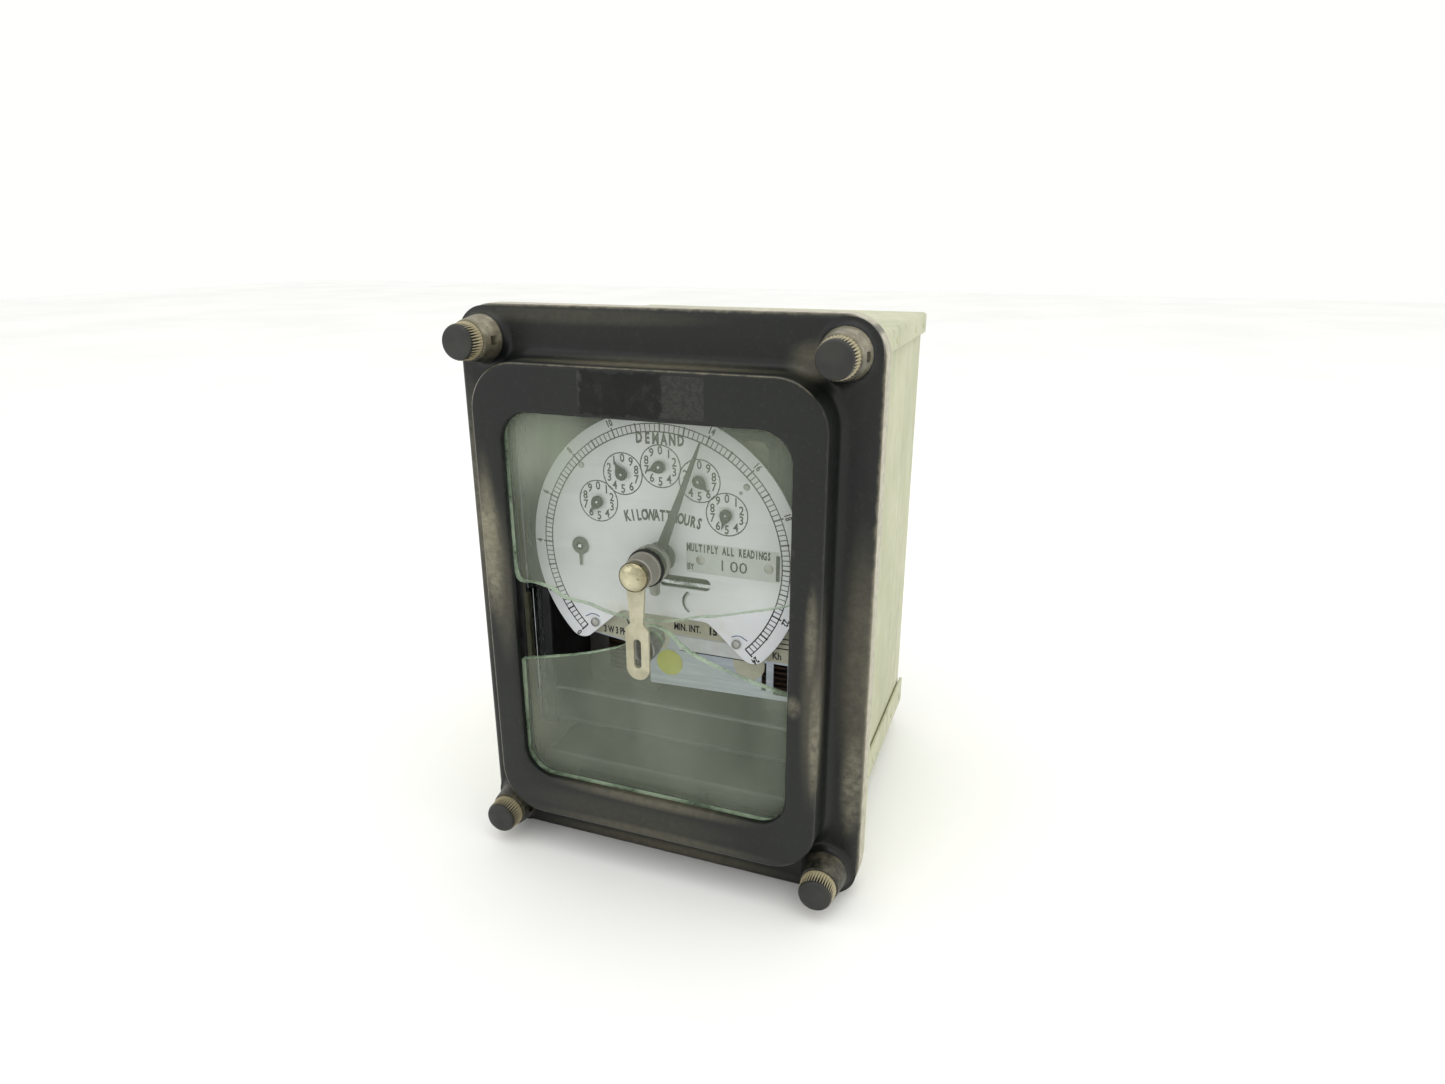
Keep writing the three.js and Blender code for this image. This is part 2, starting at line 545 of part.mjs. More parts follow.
// ---- Cover ----
function buildCover() {
  const outline = roundedRect(COVER_W, COVER_H, COVER_CORNER_R);
  const flange = softPlate(outline, FLANGE_FRONT_Y, COVER_BACK_Y, COVER_CHAMFER);
  const raised = softPlate(
    roundedRect(RAISED_W, RAISED_H, RAISED_CORNER_R), 0, FLANGE_FRONT_Y + COVER_WALL, RAISED_CHAMFER);
  const bosses = corners.map(({ x, z }) => turned([
    [0, BOSS_FRONT_Y], [BOSS_FRONT_R, BOSS_FRONT_Y], [BOSS_BASE_R, FLANGE_FRONT_Y], [BOSS_BASE_R, COVER_BACK_Y],
    [0, COVER_BACK_Y],
  ], x, z, 18));
  const rimIn = roundedRect(COVER_W - 2 * COVER_WALL, COVER_H - 2 * COVER_WALL, COVER_CORNER_R - COVER_WALL);
  const raisedIn = roundedRect(
    RAISED_W - 2 * COVER_WALL, RAISED_H - 2 * COVER_WALL, RAISED_CORNER_R - COVER_WALL);
  const rimHollow = frontPlate(rimIn, FLANGE_FRONT_Y + COVER_WALL, COVER_BACK_Y + 1);
  const raisedHollow = frontPlate(raisedIn, COVER_WALL, COVER_BACK_Y + 1);
  const windowHole = frontPlate(roundedRect(WINDOW_W, WINDOW_H, WINDOW_CORNER_R), -1, COVER_WALL + 1);
  const boreR = STUD_R + RUN_GAP + 0.2;
  const neckR = NUT_NECK_R + RUN_GAP;
  const neckEnd = BOSS_FRONT_Y + NUT_NECK_LENGTH + BORE_END_GAP;
  const bores = corners.map(({ x, z }) => turned([
    [0, BOSS_FRONT_Y - 1], [neckR, BOSS_FRONT_Y - 1], [neckR, neckEnd], [boreR, neckEnd],
    [boreR, COVER_BACK_Y + 1], [0, COVER_BACK_Y + 1],
  ], x, z, 12));
  const slotY = neckEnd + 0.4;
  const slots = corners.map(({ x, z, slotTurn }) => {
    const slot = box(0, BOSS_BASE_R + 2, slotY, slotY + SEAL_SLOT_D, -SEAL_SLOT_W / 2, SEAL_SLOT_W / 2);
    return slot.rotateY(slotTurn).translate(x, 0, z);
  });
  const shell = cut(join(flange, raised), rimHollow, raisedHollow, windowHole);
  add('cover_frame', cut(join(shell, ...bosses), ...bores, ...slots), blackPaint);

  const seal = roundedRect(COVER_W - 2 * GASKET_INSET, COVER_H - 2 * GASKET_INSET, COVER_CORNER_R);
  seal.holes.push(roundedRect(
    COVER_W - 2 * GASKET_W, COVER_H - 2 * GASKET_W, COVER_CORNER_R - INNER_CORNER_STEP));
  add('cover_gasket', frontPlate(seal, GASKET_Y, GASKET_Y + GASKET_T), rubberFinish);

  const frameInset = 2 * (COVER_WALL + FELT_INSET);
  const surround = roundedRect(
    RAISED_W - frameInset, RAISED_H - frameInset, RAISED_CORNER_R - INNER_CORNER_STEP);
  surround.holes.push(roundedRect(WINDOW_W + 2 * FELT_SETBACK, WINDOW_H + 2 * FELT_SETBACK, WINDOW_CORNER_R));
  add('glass_gasket', frontPlate(surround, GLASS_GASKET_Y, GLASS_GASKET_Y + GLASS_GASKET_T), rubberFinish);
  add('glass_retainer', frontPlate(surround, RETAINER_Y, RETAINER_Y + RETAINER_T), darkSteel);

  // The window glass is cracked across: two panes are left with a gap between them.
  const halfW = WINDOW_W / 2 + GLASS_LAP;
  const halfH = WINDOW_H / 2 + GLASS_LAP;
  const r = WINDOW_CORNER_R;
  const upper = new THREE.Shape();
  upper.moveTo(halfW, UPPER_BREAK_RIGHT_Z);
  upper.absarc(halfW - r, halfH - r, r, 0, Math.PI / 2, false);
  upper.absarc(-halfW + r, halfH - r, r, Math.PI / 2, Math.PI, false);
  upper.lineTo(-halfW, UPPER_CHIP.topZ);
  upper.lineTo(-halfW + UPPER_CHIP.depth, UPPER_CHIP.bottomZ);
  upper.splineThru(points2([...UPPER_BREAK, [halfW, UPPER_BREAK_RIGHT_Z]]));
  upper.holes.push(disc(0, RESET_Z, RESET_NECK_R + GAP));
  add('glass_upper', frontPlate(upper, GLASS_Y, GLASS_BACK_Y, 4), glassFinish);

  const lower = new THREE.Shape();
  const lowerLeft = [-halfW + LOWER_BREAK_LEFT.depth, LOWER_BREAK_LEFT.z];
  lower.moveTo(...lowerLeft);
  lower.absarc(-halfW + r, -halfH + r, r, Math.PI, 1.5 * Math.PI, false);
  lower.absarc(halfW - r, -halfH + r, r, 1.5 * Math.PI, 2 * Math.PI, false);
  lower.lineTo(halfW, LOWER_BREAK_RIGHT_Z);
  lower.splineThru(points2([...LOWER_BREAK, lowerLeft]));
  lower.holes.push(disc(0, SEAL_POST_Z, SEAL_POST_R - SEAL_POST_STEP + GAP));
  add('glass_lower', frontPlate(lower, GLASS_Y, GLASS_BACK_Y, 4), glassFinish);

  for (const { name, x, z } of corners) {
    const nut = add(`thumb_nut_${name}`, thumbNut(), blackPaint);
    nut.position.set(x, 0, z);
  }
}

function points2(pairs) {
  return pairs.map(([x, y]) => new THREE.Vector2(x, y));
}

function knurledOutline(r, depth, count) {
  const points = [];
  for (let i = 0; i < count; i += 1) {
    for (const [step, radius] of [[0, r - depth], [0.5, r]]) {
      const angle = 2 * Math.PI * (i + step) / count;
      points.push([radius * Math.cos(angle), radius * Math.sin(angle)]);
    }
  }
  return polygon(points);
}

function thumbNut() {
  const back = BOSS_FRONT_Y - GAP;
  const knurling = knurledOutline(NUT_R, NUT_KNURL_DEPTH, NUT_KNURLS);
  const skirt = frontPlate(knurling, NUT_FRONT_Y + NUT_FACE_STEP, back);
  const face = rod(NUT_R - NUT_KNURL_DEPTH - 0.1, NUT_FRONT_Y, NUT_FRONT_Y + 1, 0, 0, 24);
  const neck = rod(NUT_NECK_R, back - 1, back + NUT_NECK_LENGTH, 0, 0, 14);
  const bore = rod(STUD_R + RUN_GAP, NUT_FRONT_Y + NUT_SKIN, back + NUT_NECK_LENGTH + 1, 0, 0, 12);
  return cut(join(skirt, face, neck), bore);
}

// ---- Reset mechanism in the cover glass ----
function buildReset() {
  const neckEnd = RESET_NUT_Y + RESET_NUT_T;
  const boreR = RESET_SHAFT_R + RUN_GAP;
  const bushing = turned([
    [boreR, BUSHING_FRONT_Y], [RESET_BUSHING_FRONT_R, BUSHING_FRONT_Y], [RESET_BUSHING_R, BUSHING_SHOULDER_Y],
    [RESET_NECK_R, BUSHING_SHOULDER_Y], [RESET_NECK_R, neckEnd], [boreR, neckEnd], [boreR, BUSHING_FRONT_Y],
  ], 0, RESET_Z, 24);
  add('reset_bushing', bushing, greyMetal);
  const collarR = RESET_NECK_R + GAP;
  const washer = tube(collarR, RESET_BUSHING_R + WASHER_LAP, WASHER_Y, WASHER_Y + WASHER_T, 0, RESET_Z);
  add('reset_washer', washer, rubberFinish);
  const lockNut = disc(0, RESET_Z, RESET_NUT_R);
  lockNut.holes.push(disc(0, RESET_Z, collarR));
  add('reset_lock_nut', frontPlate(lockNut, RESET_NUT_Y, neckEnd, 3), greyMetal);

  const shaftEnd = RESET_ARM_Y + RESET_ARM_T + SHAFT_PROUD;
  add('reset_shaft', rod(RESET_SHAFT_R, KNOB_BACK_Y - KNOB_SOCKET + GAP, shaftEnd, 0, RESET_Z), greyMetal);
  const dome = [[0, KNOB_FRONT_Y]];
  for (let step = 1; step <= 5; step += 1) {
    const angle = step / 5 * Math.PI / 2;
    const rise = (RESET_KNOB_HEIGHT - KNOB_RIM) * (1 - Math.cos(angle));
    dome.push([RESET_KNOB_R * Math.sin(angle), KNOB_FRONT_Y + rise]);
  }
  const socketR = RESET_SHAFT_R + GAP;
  const socketEnd = KNOB_BACK_Y - KNOB_SOCKET;
  dome.push([RESET_KNOB_R, KNOB_BACK_Y], [socketR, KNOB_BACK_Y], [socketR, socketEnd], [0, socketEnd]);
  add('reset_knob', turned(dome, 0, RESET_Z, 24), nickel);

  add('reset_lever', frontPlate(leverOutline(), LEVER_Y, LEVER_Y + LEVER_T, 5), leverMetal);

  const arm = roundedRect(
    RESET_ARM_W, RESET_ARM_LENGTH, 1.6, 0, RESET_Z - RESET_ARM_LENGTH / 2 - RESET_ARM_DROP);
  const hub = frontPlate(disc(0, RESET_Z, RESET_ARM_HUB_R), RESET_ARM_Y, RESET_ARM_Y + RESET_ARM_T);
  const limb = frontPlate(arm, RESET_ARM_Y, RESET_ARM_Y + RESET_ARM_T);
  const eye = rod(RESET_SHAFT_R + GAP, RESET_ARM_Y - 1, shaftEnd + 1, 0, RESET_Z);
  add('reset_arm', cut(join(hub, limb), eye), greyMetal);

  // The post that the hanging lever covers, in its own hole in the lower pane.
  const postBack = GLASS_BACK_Y + SEAL_POST_TAIL;
  const postFront = LEVER_Y + LEVER_T + SEAL_POST_SETBACK;
  const neckR = SEAL_POST_R - SEAL_POST_STEP;
  const post = turned([
    [0, postFront], [SEAL_POST_R - 0.5, postFront], [SEAL_POST_R, postFront + 0.5],
    [SEAL_POST_R, GLASS_Y - GAP], [neckR, GLASS_Y - GAP], [neckR, postBack], [0, postBack],
  ], 0, SEAL_POST_Z, 20);
  const postSlot = box(
    -SEAL_POST_SLOT_W / 2, SEAL_POST_SLOT_W / 2, LEVER_Y, postFront + 1.4, SEAL_POST_Z - 8, SEAL_POST_Z + 8);
  add('seal_post', cut(post, postSlot), greyMetal);
}

function leverOutline() {
  const bottom = RESET_Z - LEVER_LENGTH;
  const padHalf = LEVER_PAD_W / 2;
  const armHalf = LEVER_ARM_W / 2;
  const padTop = bottom + LEVER_PAD_LENGTH;
  const shape = new THREE.Shape();
  shape.moveTo(armHalf, padTop + LEVER_SHOULDER);
  shape.lineTo(armHalf, RESET_Z);
  shape.absarc(0, RESET_Z, armHalf + LEVER_EYE_WALL, -0.4, Math.PI + 0.4, false);
  shape.lineTo(-armHalf, padTop + LEVER_SHOULDER);
  shape.lineTo(-padHalf, padTop);
  shape.absarc(0, bottom + padHalf, padHalf, Math.PI, 2 * Math.PI, false);
  shape.lineTo(padHalf, padTop);
  shape.closePath();
  const slotZ = bottom + padHalf + LEVER_SLOT_LENGTH / 2;
  shape.holes.push(roundedRect(LEVER_SLOT_W, LEVER_SLOT_LENGTH, LEVER_SLOT_W / 2 - 0.05, 0, slotZ));
  shape.holes.push(disc(0, RESET_Z, RESET_SHAFT_R + GAP));
  return shape;
}

// ---- Meter element ----
function dialOutline() {
  const lobeAngle = THREE.MathUtils.degToRad(DIAL_LOBE_ANGLE);
  const lobeX = (DIAL_R - DIAL_LOBE_R) * Math.cos(lobeAngle);
  const lobeZ = RESET_Z - (DIAL_R - DIAL_LOBE_R) * Math.sin(lobeAngle);
  const flank = THREE.MathUtils.degToRad(DIAL_FLANK_ANGLE);
  const tangentX = lobeX - DIAL_LOBE_R * Math.sin(flank);
  const tangentZ = lobeZ - DIAL_LOBE_R * Math.cos(flank);
  const waistX = tangentX - (DIAL_WAIST_Z - tangentZ) / Math.tan(flank);
  const waist = (side) => [
    [side * (waistX + 1.5), DIAL_WAIST_Z - 1.3], [side * waistX, DIAL_WAIST_Z - 0.3],
    [side * (waistX - 2.5), DIAL_WAIST_Z],
  ];
  return polygon([
    ...arc(0, RESET_Z, DIAL_R, -lobeAngle, Math.PI + lobeAngle, 40),
    ...arc(-lobeX, lobeZ, DIAL_LOBE_R, Math.PI + lobeAngle, 1.5 * Math.PI + flank, 6).slice(1),
    ...waist(-1),
    ...waist(1).reverse(),
    ...arc(lobeX, lobeZ, DIAL_LOBE_R, 1.5 * Math.PI - flank, 2 * Math.PI - lobeAngle, 6).slice(0, -1),
  ]);
}

// A curved slot of the given width, with square ends.
function crescent({ x, z, r, w, from, to }) {
  const start = THREE.MathUtils.degToRad(from);
  const end = THREE.MathUtils.degToRad(to);
  return polygon([...arc(x, z, r + w / 2, start, end, 6), ...arc(x, z, r - w / 2, end, start, 6)]);
}

function buildCradle() {
  const out = CRADLE_OUT_X;
  const inn = out - CRADLE_SHEET;
  const front = CRADLE_FRONT_Y;
  const back = CRADLE_BACK_Y;
  const returnX = out - CRADLE_RETURN;
  const sides = polygon([
    [-returnX, front], [-returnX, front + CRADLE_SHEET], [-inn, front + CRADLE_SHEET],
    [-inn, back - CRADLE_SHEET],
    [inn, back - CRADLE_SHEET], [inn, front + CRADLE_SHEET], [returnX, front + CRADLE_SHEET], [returnX, front],
    [out, front], [out, back], [-out, back], [-out, front],
  ].reverse());
  const wrap = planSlab(sides, CRADLE_BOTTOM_Z, CRADLE_TOP_Z);
  const topShelf = box(-inn - 1, inn + 1, front + 4, back - 1, CRADLE_TOP_Z - CRADLE_SHEET, CRADLE_TOP_Z);
  const bottomShelf = box(
    -inn - 1, inn + 1, front + 4, back - 1, CRADLE_BOTTOM_Z, CRADLE_BOTTOM_Z + CRADLE_SHEET);
  add('cradle_frame', join(wrap, topShelf, bottomShelf), darkSteel);

  // Sprung strips down both front edges hold the cradle in the case.
  for (const [name, side] of [['latch_strip_left', -1], ['latch_strip_right', 1]]) {
    const x = side * (out - LATCH.inset);
    const lowX = side * (out - 2 * LATCH.inset);
    const half = LATCH.t / 2;
    const y0 = front - GAP - LATCH.depth;
    const y1 = front - GAP;
    const upperStrip = box(x - half, x + half, y0, y1, LATCH.jogTop, LATCH.top);
    const jog = box(Math.min(x, lowX) - half, Math.max(x, lowX) + half, y0, y1, LATCH.jogBottom, LATCH.jogTop);
    const lowerStrip = box(lowX - half, lowX + half, y0, y1, LATCH.bottom, LATCH.jogBottom + 1);
    add(name, join(upperStrip, jog, lowerStrip), plateSilver);
  }

  // Register: two plates held apart by posts, with the dial in front.
  const dial = dialOutline();
  dial.holes.push(roundedRect(DIAL_SLOT.w, DIAL_SLOT.h, DIAL_SLOT.r, DIAL_SLOT.x, DIAL_SLOT.z));
  dial.holes.push(crescent(DIAL_CRESCENT));
  dial.holes.push(disc(0, RESET_Z, DEMAND_ARBOR_R + RUN_GAP + 0.3, 10));
  for (const { x, z } of [...ARBORS, INTERVAL]) {
    dial.holes.push(disc(x, z, ARBOR_R + RUN_GAP, 8));
  }
  add('dial_plate', frontPlate(dial, DIAL_FRONT_Y, DIAL_FRONT_Y + DIAL_T, 5), dialWhite);
  for (const [name, side] of [['dial_screw_left', -1], ['dial_screw_right', 1]]) {
    const y0 = DIAL_FRONT_Y - GAP - DIAL_SCREW.height;
    const y1 = DIAL_FRONT_Y - GAP;
    const r = DIAL_SCREW.r;
    const profile = [[0, y0], [r / 2, y0 + 0.1], [r, y0 + 0.7], [r, y1], [0, y1]];
    const head = turned(profile, side * DIAL_SCREW.x, DIAL_SCREW.z, 14);
    add(name, head, greyMetal);
  }

  const plateHoles = (shape) => {
    for (const { x, z } of [...ARBORS, INTERVAL]) {
      shape.holes.push(disc(x, z, ARBOR_R + RUN_GAP, 8));
    }
    shape.holes.push(disc(0, RESET_Z, DEMAND_ARBOR_R + RUN_GAP, 10));
  };
  const frontShape = roundedRect(REGISTER_W, REGISTER_H, REGISTER_CORNER_R, 0, REGISTER_Z);
  const backShape = roundedRect(REGISTER_W, REGISTER_H, REGISTER_CORNER_R, 0, REGISTER_Z);
  plateHoles(frontShape);
  plateHoles(backShape);
  const frontEnd = REGISTER_FRONT_Y + REGISTER_PLATE_T;
  backShape.holes.push(disc(WHEEL_X, WHEEL_Z, ARBOR_R + RUN_GAP, 8));
  add('register_front_plate', frontPlate(frontShape, REGISTER_FRONT_Y, frontEnd, 4), brass);
  const posts = [-1, 1].flatMap((side) => [-1, 1].map((end) => rod(
    POST_R, frontEnd + GAP, REGISTER_BACK_Y + 0.5,
    side * (REGISTER_W / 2 - POST_INSET), REGISTER_Z + end * (REGISTER_H / 2 - POST_INSET), 10)));
  const backPlate = frontPlate(backShape, REGISTER_BACK_Y, REGISTER_BACK_Y + REGISTER_PLATE_T, 4);
  add('register_back_plate', join(backPlate, ...posts), brass);
  const barY = DIAL_FRONT_Y + DIAL_T + GAP;
  const bar = box(PUSHER.left, PUSHER.right, barY, barY + PUSHER.t, PUSHER.bottom, PUSHER.top);
  add('demand_pusher_bar', bar, plateSilver);

  const plate = polygon(NAMEPLATE_OUTLINE);
  plate.holes.push(...NAMEPLATE_OPENINGS.map((edges) => rect(...edges)));
  add('nameplate', frontPlate(plate, NAMEPLATE_Y, NAMEPLATE_Y + NAMEPLATE_T, 4), plateSilver);

  const motorY = REGISTER_BACK_Y + REGISTER_PLATE_T + GAP;
  const motor = turned([
    [0, motorY], [MOTOR.r, motorY], [MOTOR.r, motorY + MOTOR.body], [MOTOR.noseR, motorY + MOTOR.depth],
    [0, motorY + MOTOR.depth],
  ], MOTOR.x, MOTOR.z, 28);
  add('timing_motor', motor, greyMetal);

  buildStators();
  buildRotorSupports();
}

function buildStators() {
  const y0 = ROTOR_Y - CORE_STACK / 2;
  const y1 = ROTOR_Y + CORE_STACK / 2;
  const poleTop = DISC_Z + DISC_AIR;
  const poleBottom = DISC_Z - DISC_AIR;
  const windowH = CORE_WINDOW_H;
  const poleIn = POLE_IN_X;
  const poleOut = poleIn + POLE_W;
  const spineIn = poleOut + COIL_WALL + 1;
  const spineOut = spineIn + CORE_LIMB;
  for (const [place, side] of [['left', -1], ['right', 1]]) {
    const outline = [
      [spineOut, poleBottom - windowH - CORE_LIMB], [poleIn, poleBottom - windowH - CORE_LIMB],
      [poleIn, poleBottom], [poleOut, poleBottom], [poleOut, poleBottom - windowH],
      [spineIn, poleBottom - windowH],
      [spineIn, poleTop + windowH], [poleOut, poleTop + windowH], [poleOut, poleTop], [poleIn, poleTop],
      [poleIn, poleTop + windowH + CORE_LIMB], [spineOut, poleTop + windowH + CORE_LIMB],
    ].map(([x, z]) => [x * side, z]);
    if (side > 0) outline.reverse();
    add(`stator_core_${place}`, frontPlate(polygon(outline), y0, y1), lamination);
    const middle = side * (poleIn + poleOut) / 2;
    const coil = coilRing(middle, POLE_W, CORE_STACK);
    add(`voltage_coil_${place}`, planSlab(coil, poleTop + 1.5, poleTop + windowH - 1, 3), coilTape);
    add(`current_coil_${place}`, planSlab(coil, poleBottom - windowH + 1, poleBottom - 1.5, 3), copper);
  }
}

// Plan outline of a coil round a pole: a rounded ring.
function coilRing(cx, poleW, poleD) {
  const ring = roundedRect(poleW + 2 * COIL_WALL, poleD + 2 * COIL_WALL, COIL_CORNER_R, cx, ROTOR_Y);
  ring.holes.push(roundedRect(poleW + 2 * GAP, poleD + 2 * GAP, 1, cx, ROTOR_Y));
  return ring;
}

function buildRotorSupports() {
  const wallY = CRADLE_BACK_Y - CRADLE_SHEET - GAP;
  const cup = (z0, z1, boreZ0, boreZ1, r) => cut(
    turnedUpright([[0, z0], [r, z0], [r, z1], [0, z1]], 0, ROTOR_Y, 20),
    turnedUpright(
      [[0, boreZ0], [BEARING_BORE_R, boreZ0], [BEARING_BORE_R, boreZ1], [0, boreZ1]], 0, ROTOR_Y, 16));
  const armX = [-BEARING_ARM_W / 2, BEARING_ARM_W / 2];
  const upperArm = box(...armX, ROTOR_Y + 3, wallY, ROTOR_TOP_Z + 3, ROTOR_TOP_Z + 8);
  const lowerArm = box(...armX, ROTOR_Y + 3, wallY, ROTOR_BOTTOM_Z - 5, ROTOR_BOTTOM_Z);
  add('upper_bearing', join(
    cup(ROTOR_TOP_Z - 3, ROTOR_TOP_Z + 8, ROTOR_TOP_Z - 4, ROTOR_TOP_Z + 0.5, BEARING_R), upperArm), greyMetal);
  add('lower_bearing', join(
    cup(ROTOR_BOTTOM_Z - 6, ROTOR_BOTTOM_Z + 4, ROTOR_BOTTOM_Z - 0.5, ROTOR_BOTTOM_Z + 5, BEARING_R),
    lowerArm), greyMetal);

  const spineY = ROTOR_Y + DISC_R + 3;
  const top = DISC_Z + DISC_AIR;
  const bottom = DISC_Z - DISC_AIR;
  const magnetX = MAGNET_W / 2;
  const magnet = box(
    -magnetX, magnetX, ROTOR_Y + MAGNET_FRONT, wallY, bottom - MAGNET_JAW_H, top + MAGNET_JAW_H);
  const air = box(-magnetX - 1, magnetX + 1, ROTOR_Y + MAGNET_FRONT - 1, spineY, bottom, top);
  add('braking_magnet', cut(magnet, air), magnetGrey);
}

function buildRotor() {
  const half = DISC_T / 2;
  add('rotor_disc', turnedUpright([
    [ROTOR_SHAFT_R + GAP, DISC_Z - half], [DISC_R, DISC_Z - half], [DISC_R, DISC_Z + half],
    [ROTOR_SHAFT_R + GAP, DISC_Z + half], [ROTOR_SHAFT_R + GAP, DISC_Z - half],
  ], 0, ROTOR_Y, 40), aluminium);
  const worm = [];
  for (let thread = 0; thread < WORM_TURNS; thread += 1) {
    const z = WORM_BOTTOM_Z + thread * WORM_PITCH;
    worm.push([WORM_R - WORM_DEPTH, z], [WORM_R, z + 1.1], [WORM_R - WORM_DEPTH, z + 2.2]);
  }
  const wormTop = WORM_BOTTOM_Z + WORM_TURNS * WORM_PITCH + 1;
  add('rotor_shaft', turnedUpright([
    [0, ROTOR_BOTTOM_Z], [ROTOR_SHAFT_R, ROTOR_BOTTOM_Z], [ROTOR_SHAFT_R, WORM_BOTTOM_Z - 0.6],
    ...worm, [ROTOR_SHAFT_R, wormTop], [ROTOR_SHAFT_R, ROTOR_TOP_Z], [0, ROTOR_TOP_Z],
  ], 0, ROTOR_Y, 12), nickel);

  const wheel = frontPlate(knurledOutline(WHEEL_R, 0.8, WHEEL_TEETH), ROTOR_Y - 1.5, ROTOR_Y + 1.5);
  const arbor = rod(ARBOR_R, REGISTER_BACK_Y + 0.4, ROTOR_Y + 4, 0, 0, 10);
  add('worm_wheel', join(wheel, arbor), brass).position.set(WHEEL_X, 0, WHEEL_Z);
}

// A register arbor: pointer in front of the dial, gear between the plates.
function buildArbors() {
  const pointerY = DIAL_FRONT_Y - 1.6;
  const firstGearY = REGISTER_FRONT_Y + REGISTER_PLATE_T + 2;
  ARBORS.forEach(({ x, z }, index) => {
    const plane = index === ARBORS.length - 1 ? 2 : index % 2;
    const gearY = firstGearY + plane * GEAR_PLANE_STEP;
    const arbor = rod(ARBOR_R, pointerY, REGISTER_BACK_Y + 0.9, 0, 0, 10);
    const hub = rod(1.9, pointerY - 0.5, pointerY + 1, 0, 0, 14);
    const hand = frontPlate(polygon([
      [-0.9, -1.5], [0.9, -1.5], [0.9, 2], [0.15, ARBOR_POINTER], [-0.15, ARBOR_POINTER], [-0.9, 2],
    ]), pointerY, pointerY + 0.7);
    const gear = frontPlate(knurledOutline(GEAR_R, 0.8, GEAR_TEETH), gearY, gearY + GEAR_T);
    const pieces = [arbor, hub, hand, gear];
    if (index > 0) {
      const pinionY = firstGearY + ((index - 1) % 2) * GEAR_PLANE_STEP;
      const pinion = knurledOutline(PINION_R, 0.5, PINION_TEETH);
      pieces.push(frontPlate(pinion, pinionY - 0.2, pinionY + GEAR_T + 0.2));
    }
    const turn = THREE.MathUtils.degToRad(ARBOR_REST[index]);
    const node = add(`register_pointer_${index + 1}`, join(...pieces).rotateY(turn), brass);
    node.position.set(x, 0, z);
  });

  const handY = RESET_ARM_Y + RESET_ARM_T + 2.2;
  const blade = polygon([[0, -1.5], [DEMAND_POINTER, -0.35], [DEMAND_POINTER, 0.35], [0, 1.5]]);
  const hand = frontPlate(blade, handY, handY + 0.7);
  const hub = rod(DEMAND_HUB_R, handY - 0.6, handY + 1.6, 0, 0, 24);
  const arbor = rod(DEMAND_ARBOR_R, handY, REGISTER_BACK_Y + 0.9, 0, 0, 12);
  const demand = join(hub, hand, arbor).rotateY(-THREE.MathUtils.degToRad(DEMAND_REST));
  add('demand_pointer', demand, darkSteel).position.set(0, 0, RESET_Z);

  const dotY = DIAL_FRONT_Y - 1.4;
  const interval = join(
    rod(INTERVAL_R, dotY, dotY + 1, 0, 0, 20),
    frontPlate(rect(-0.6, -INTERVAL_TAIL, 0.6, 0), dotY + 0.1, dotY + 0.8),
    rod(ARBOR_R, dotY, REGISTER_BACK_Y + 0.9, 0, 0, 10));
  add('interval_pointer', interval, darkSteel).position.set(INTERVAL.x, 0, INTERVAL.z);
}

function buildPlug() {
  const back = PLUG_FRONT_Y + PLUG_DEPTH;
  const body = softPlate(roundedRect(PLUG_W, PLUG_H, 3, 0, PLUG_Z), PLUG_FRONT_Y, back, 1, 3);
  const grips = [-1, 1].map((side) => frontPlate(
    roundedRect(PLUG_GRIP.w, PLUG_GRIP.h, 3, side * PLUG_GRIP.x, PLUG_Z),
    PLUG_FRONT_Y - 1, PLUG_FRONT_Y + PLUG_GRIP.depth, 3));
  add('connection_plug', cut(body, ...grips), phenolic);
  // The blades stand on one strip across the plug's back.
  const blades = [box(-PLUG_W / 2 + 4, PLUG_W / 2 - 4, back + GAP, back + GAP + 2, PLUG_Z - 3, PLUG_Z + 3)];
  for (let blade = 0; blade < PLUG_BLADES; blade += 1) {
    const x = (blade - (PLUG_BLADES - 1) / 2) * BLADE_PITCH;
    blades.push(box(
      x - BLADE_W / 2, x + BLADE_W / 2, back + GAP, back + GAP + BLADE_LENGTH,
      PLUG_Z - BLADE_T / 2, PLUG_Z + BLADE_T / 2));
  }
  add('plug_blades', join(...blades), copper);
}

buildCase();
buildCover();
buildReset();
buildCradle();
buildRotor();
buildArbors();
buildPlug();

// Bottom centre of the whole meter becomes the origin.
const object = new THREE.Group();
object.add(meter);
meter.position.set(0, -(KNOB_FRONT_Y + STUD_END_Y) / 2, COVER_H / 2);

export default object;
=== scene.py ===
"""Looks of the switchboard demand watthour meter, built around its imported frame."""
import math

import bmesh
import bpy
from mathutils import Matrix, Vector


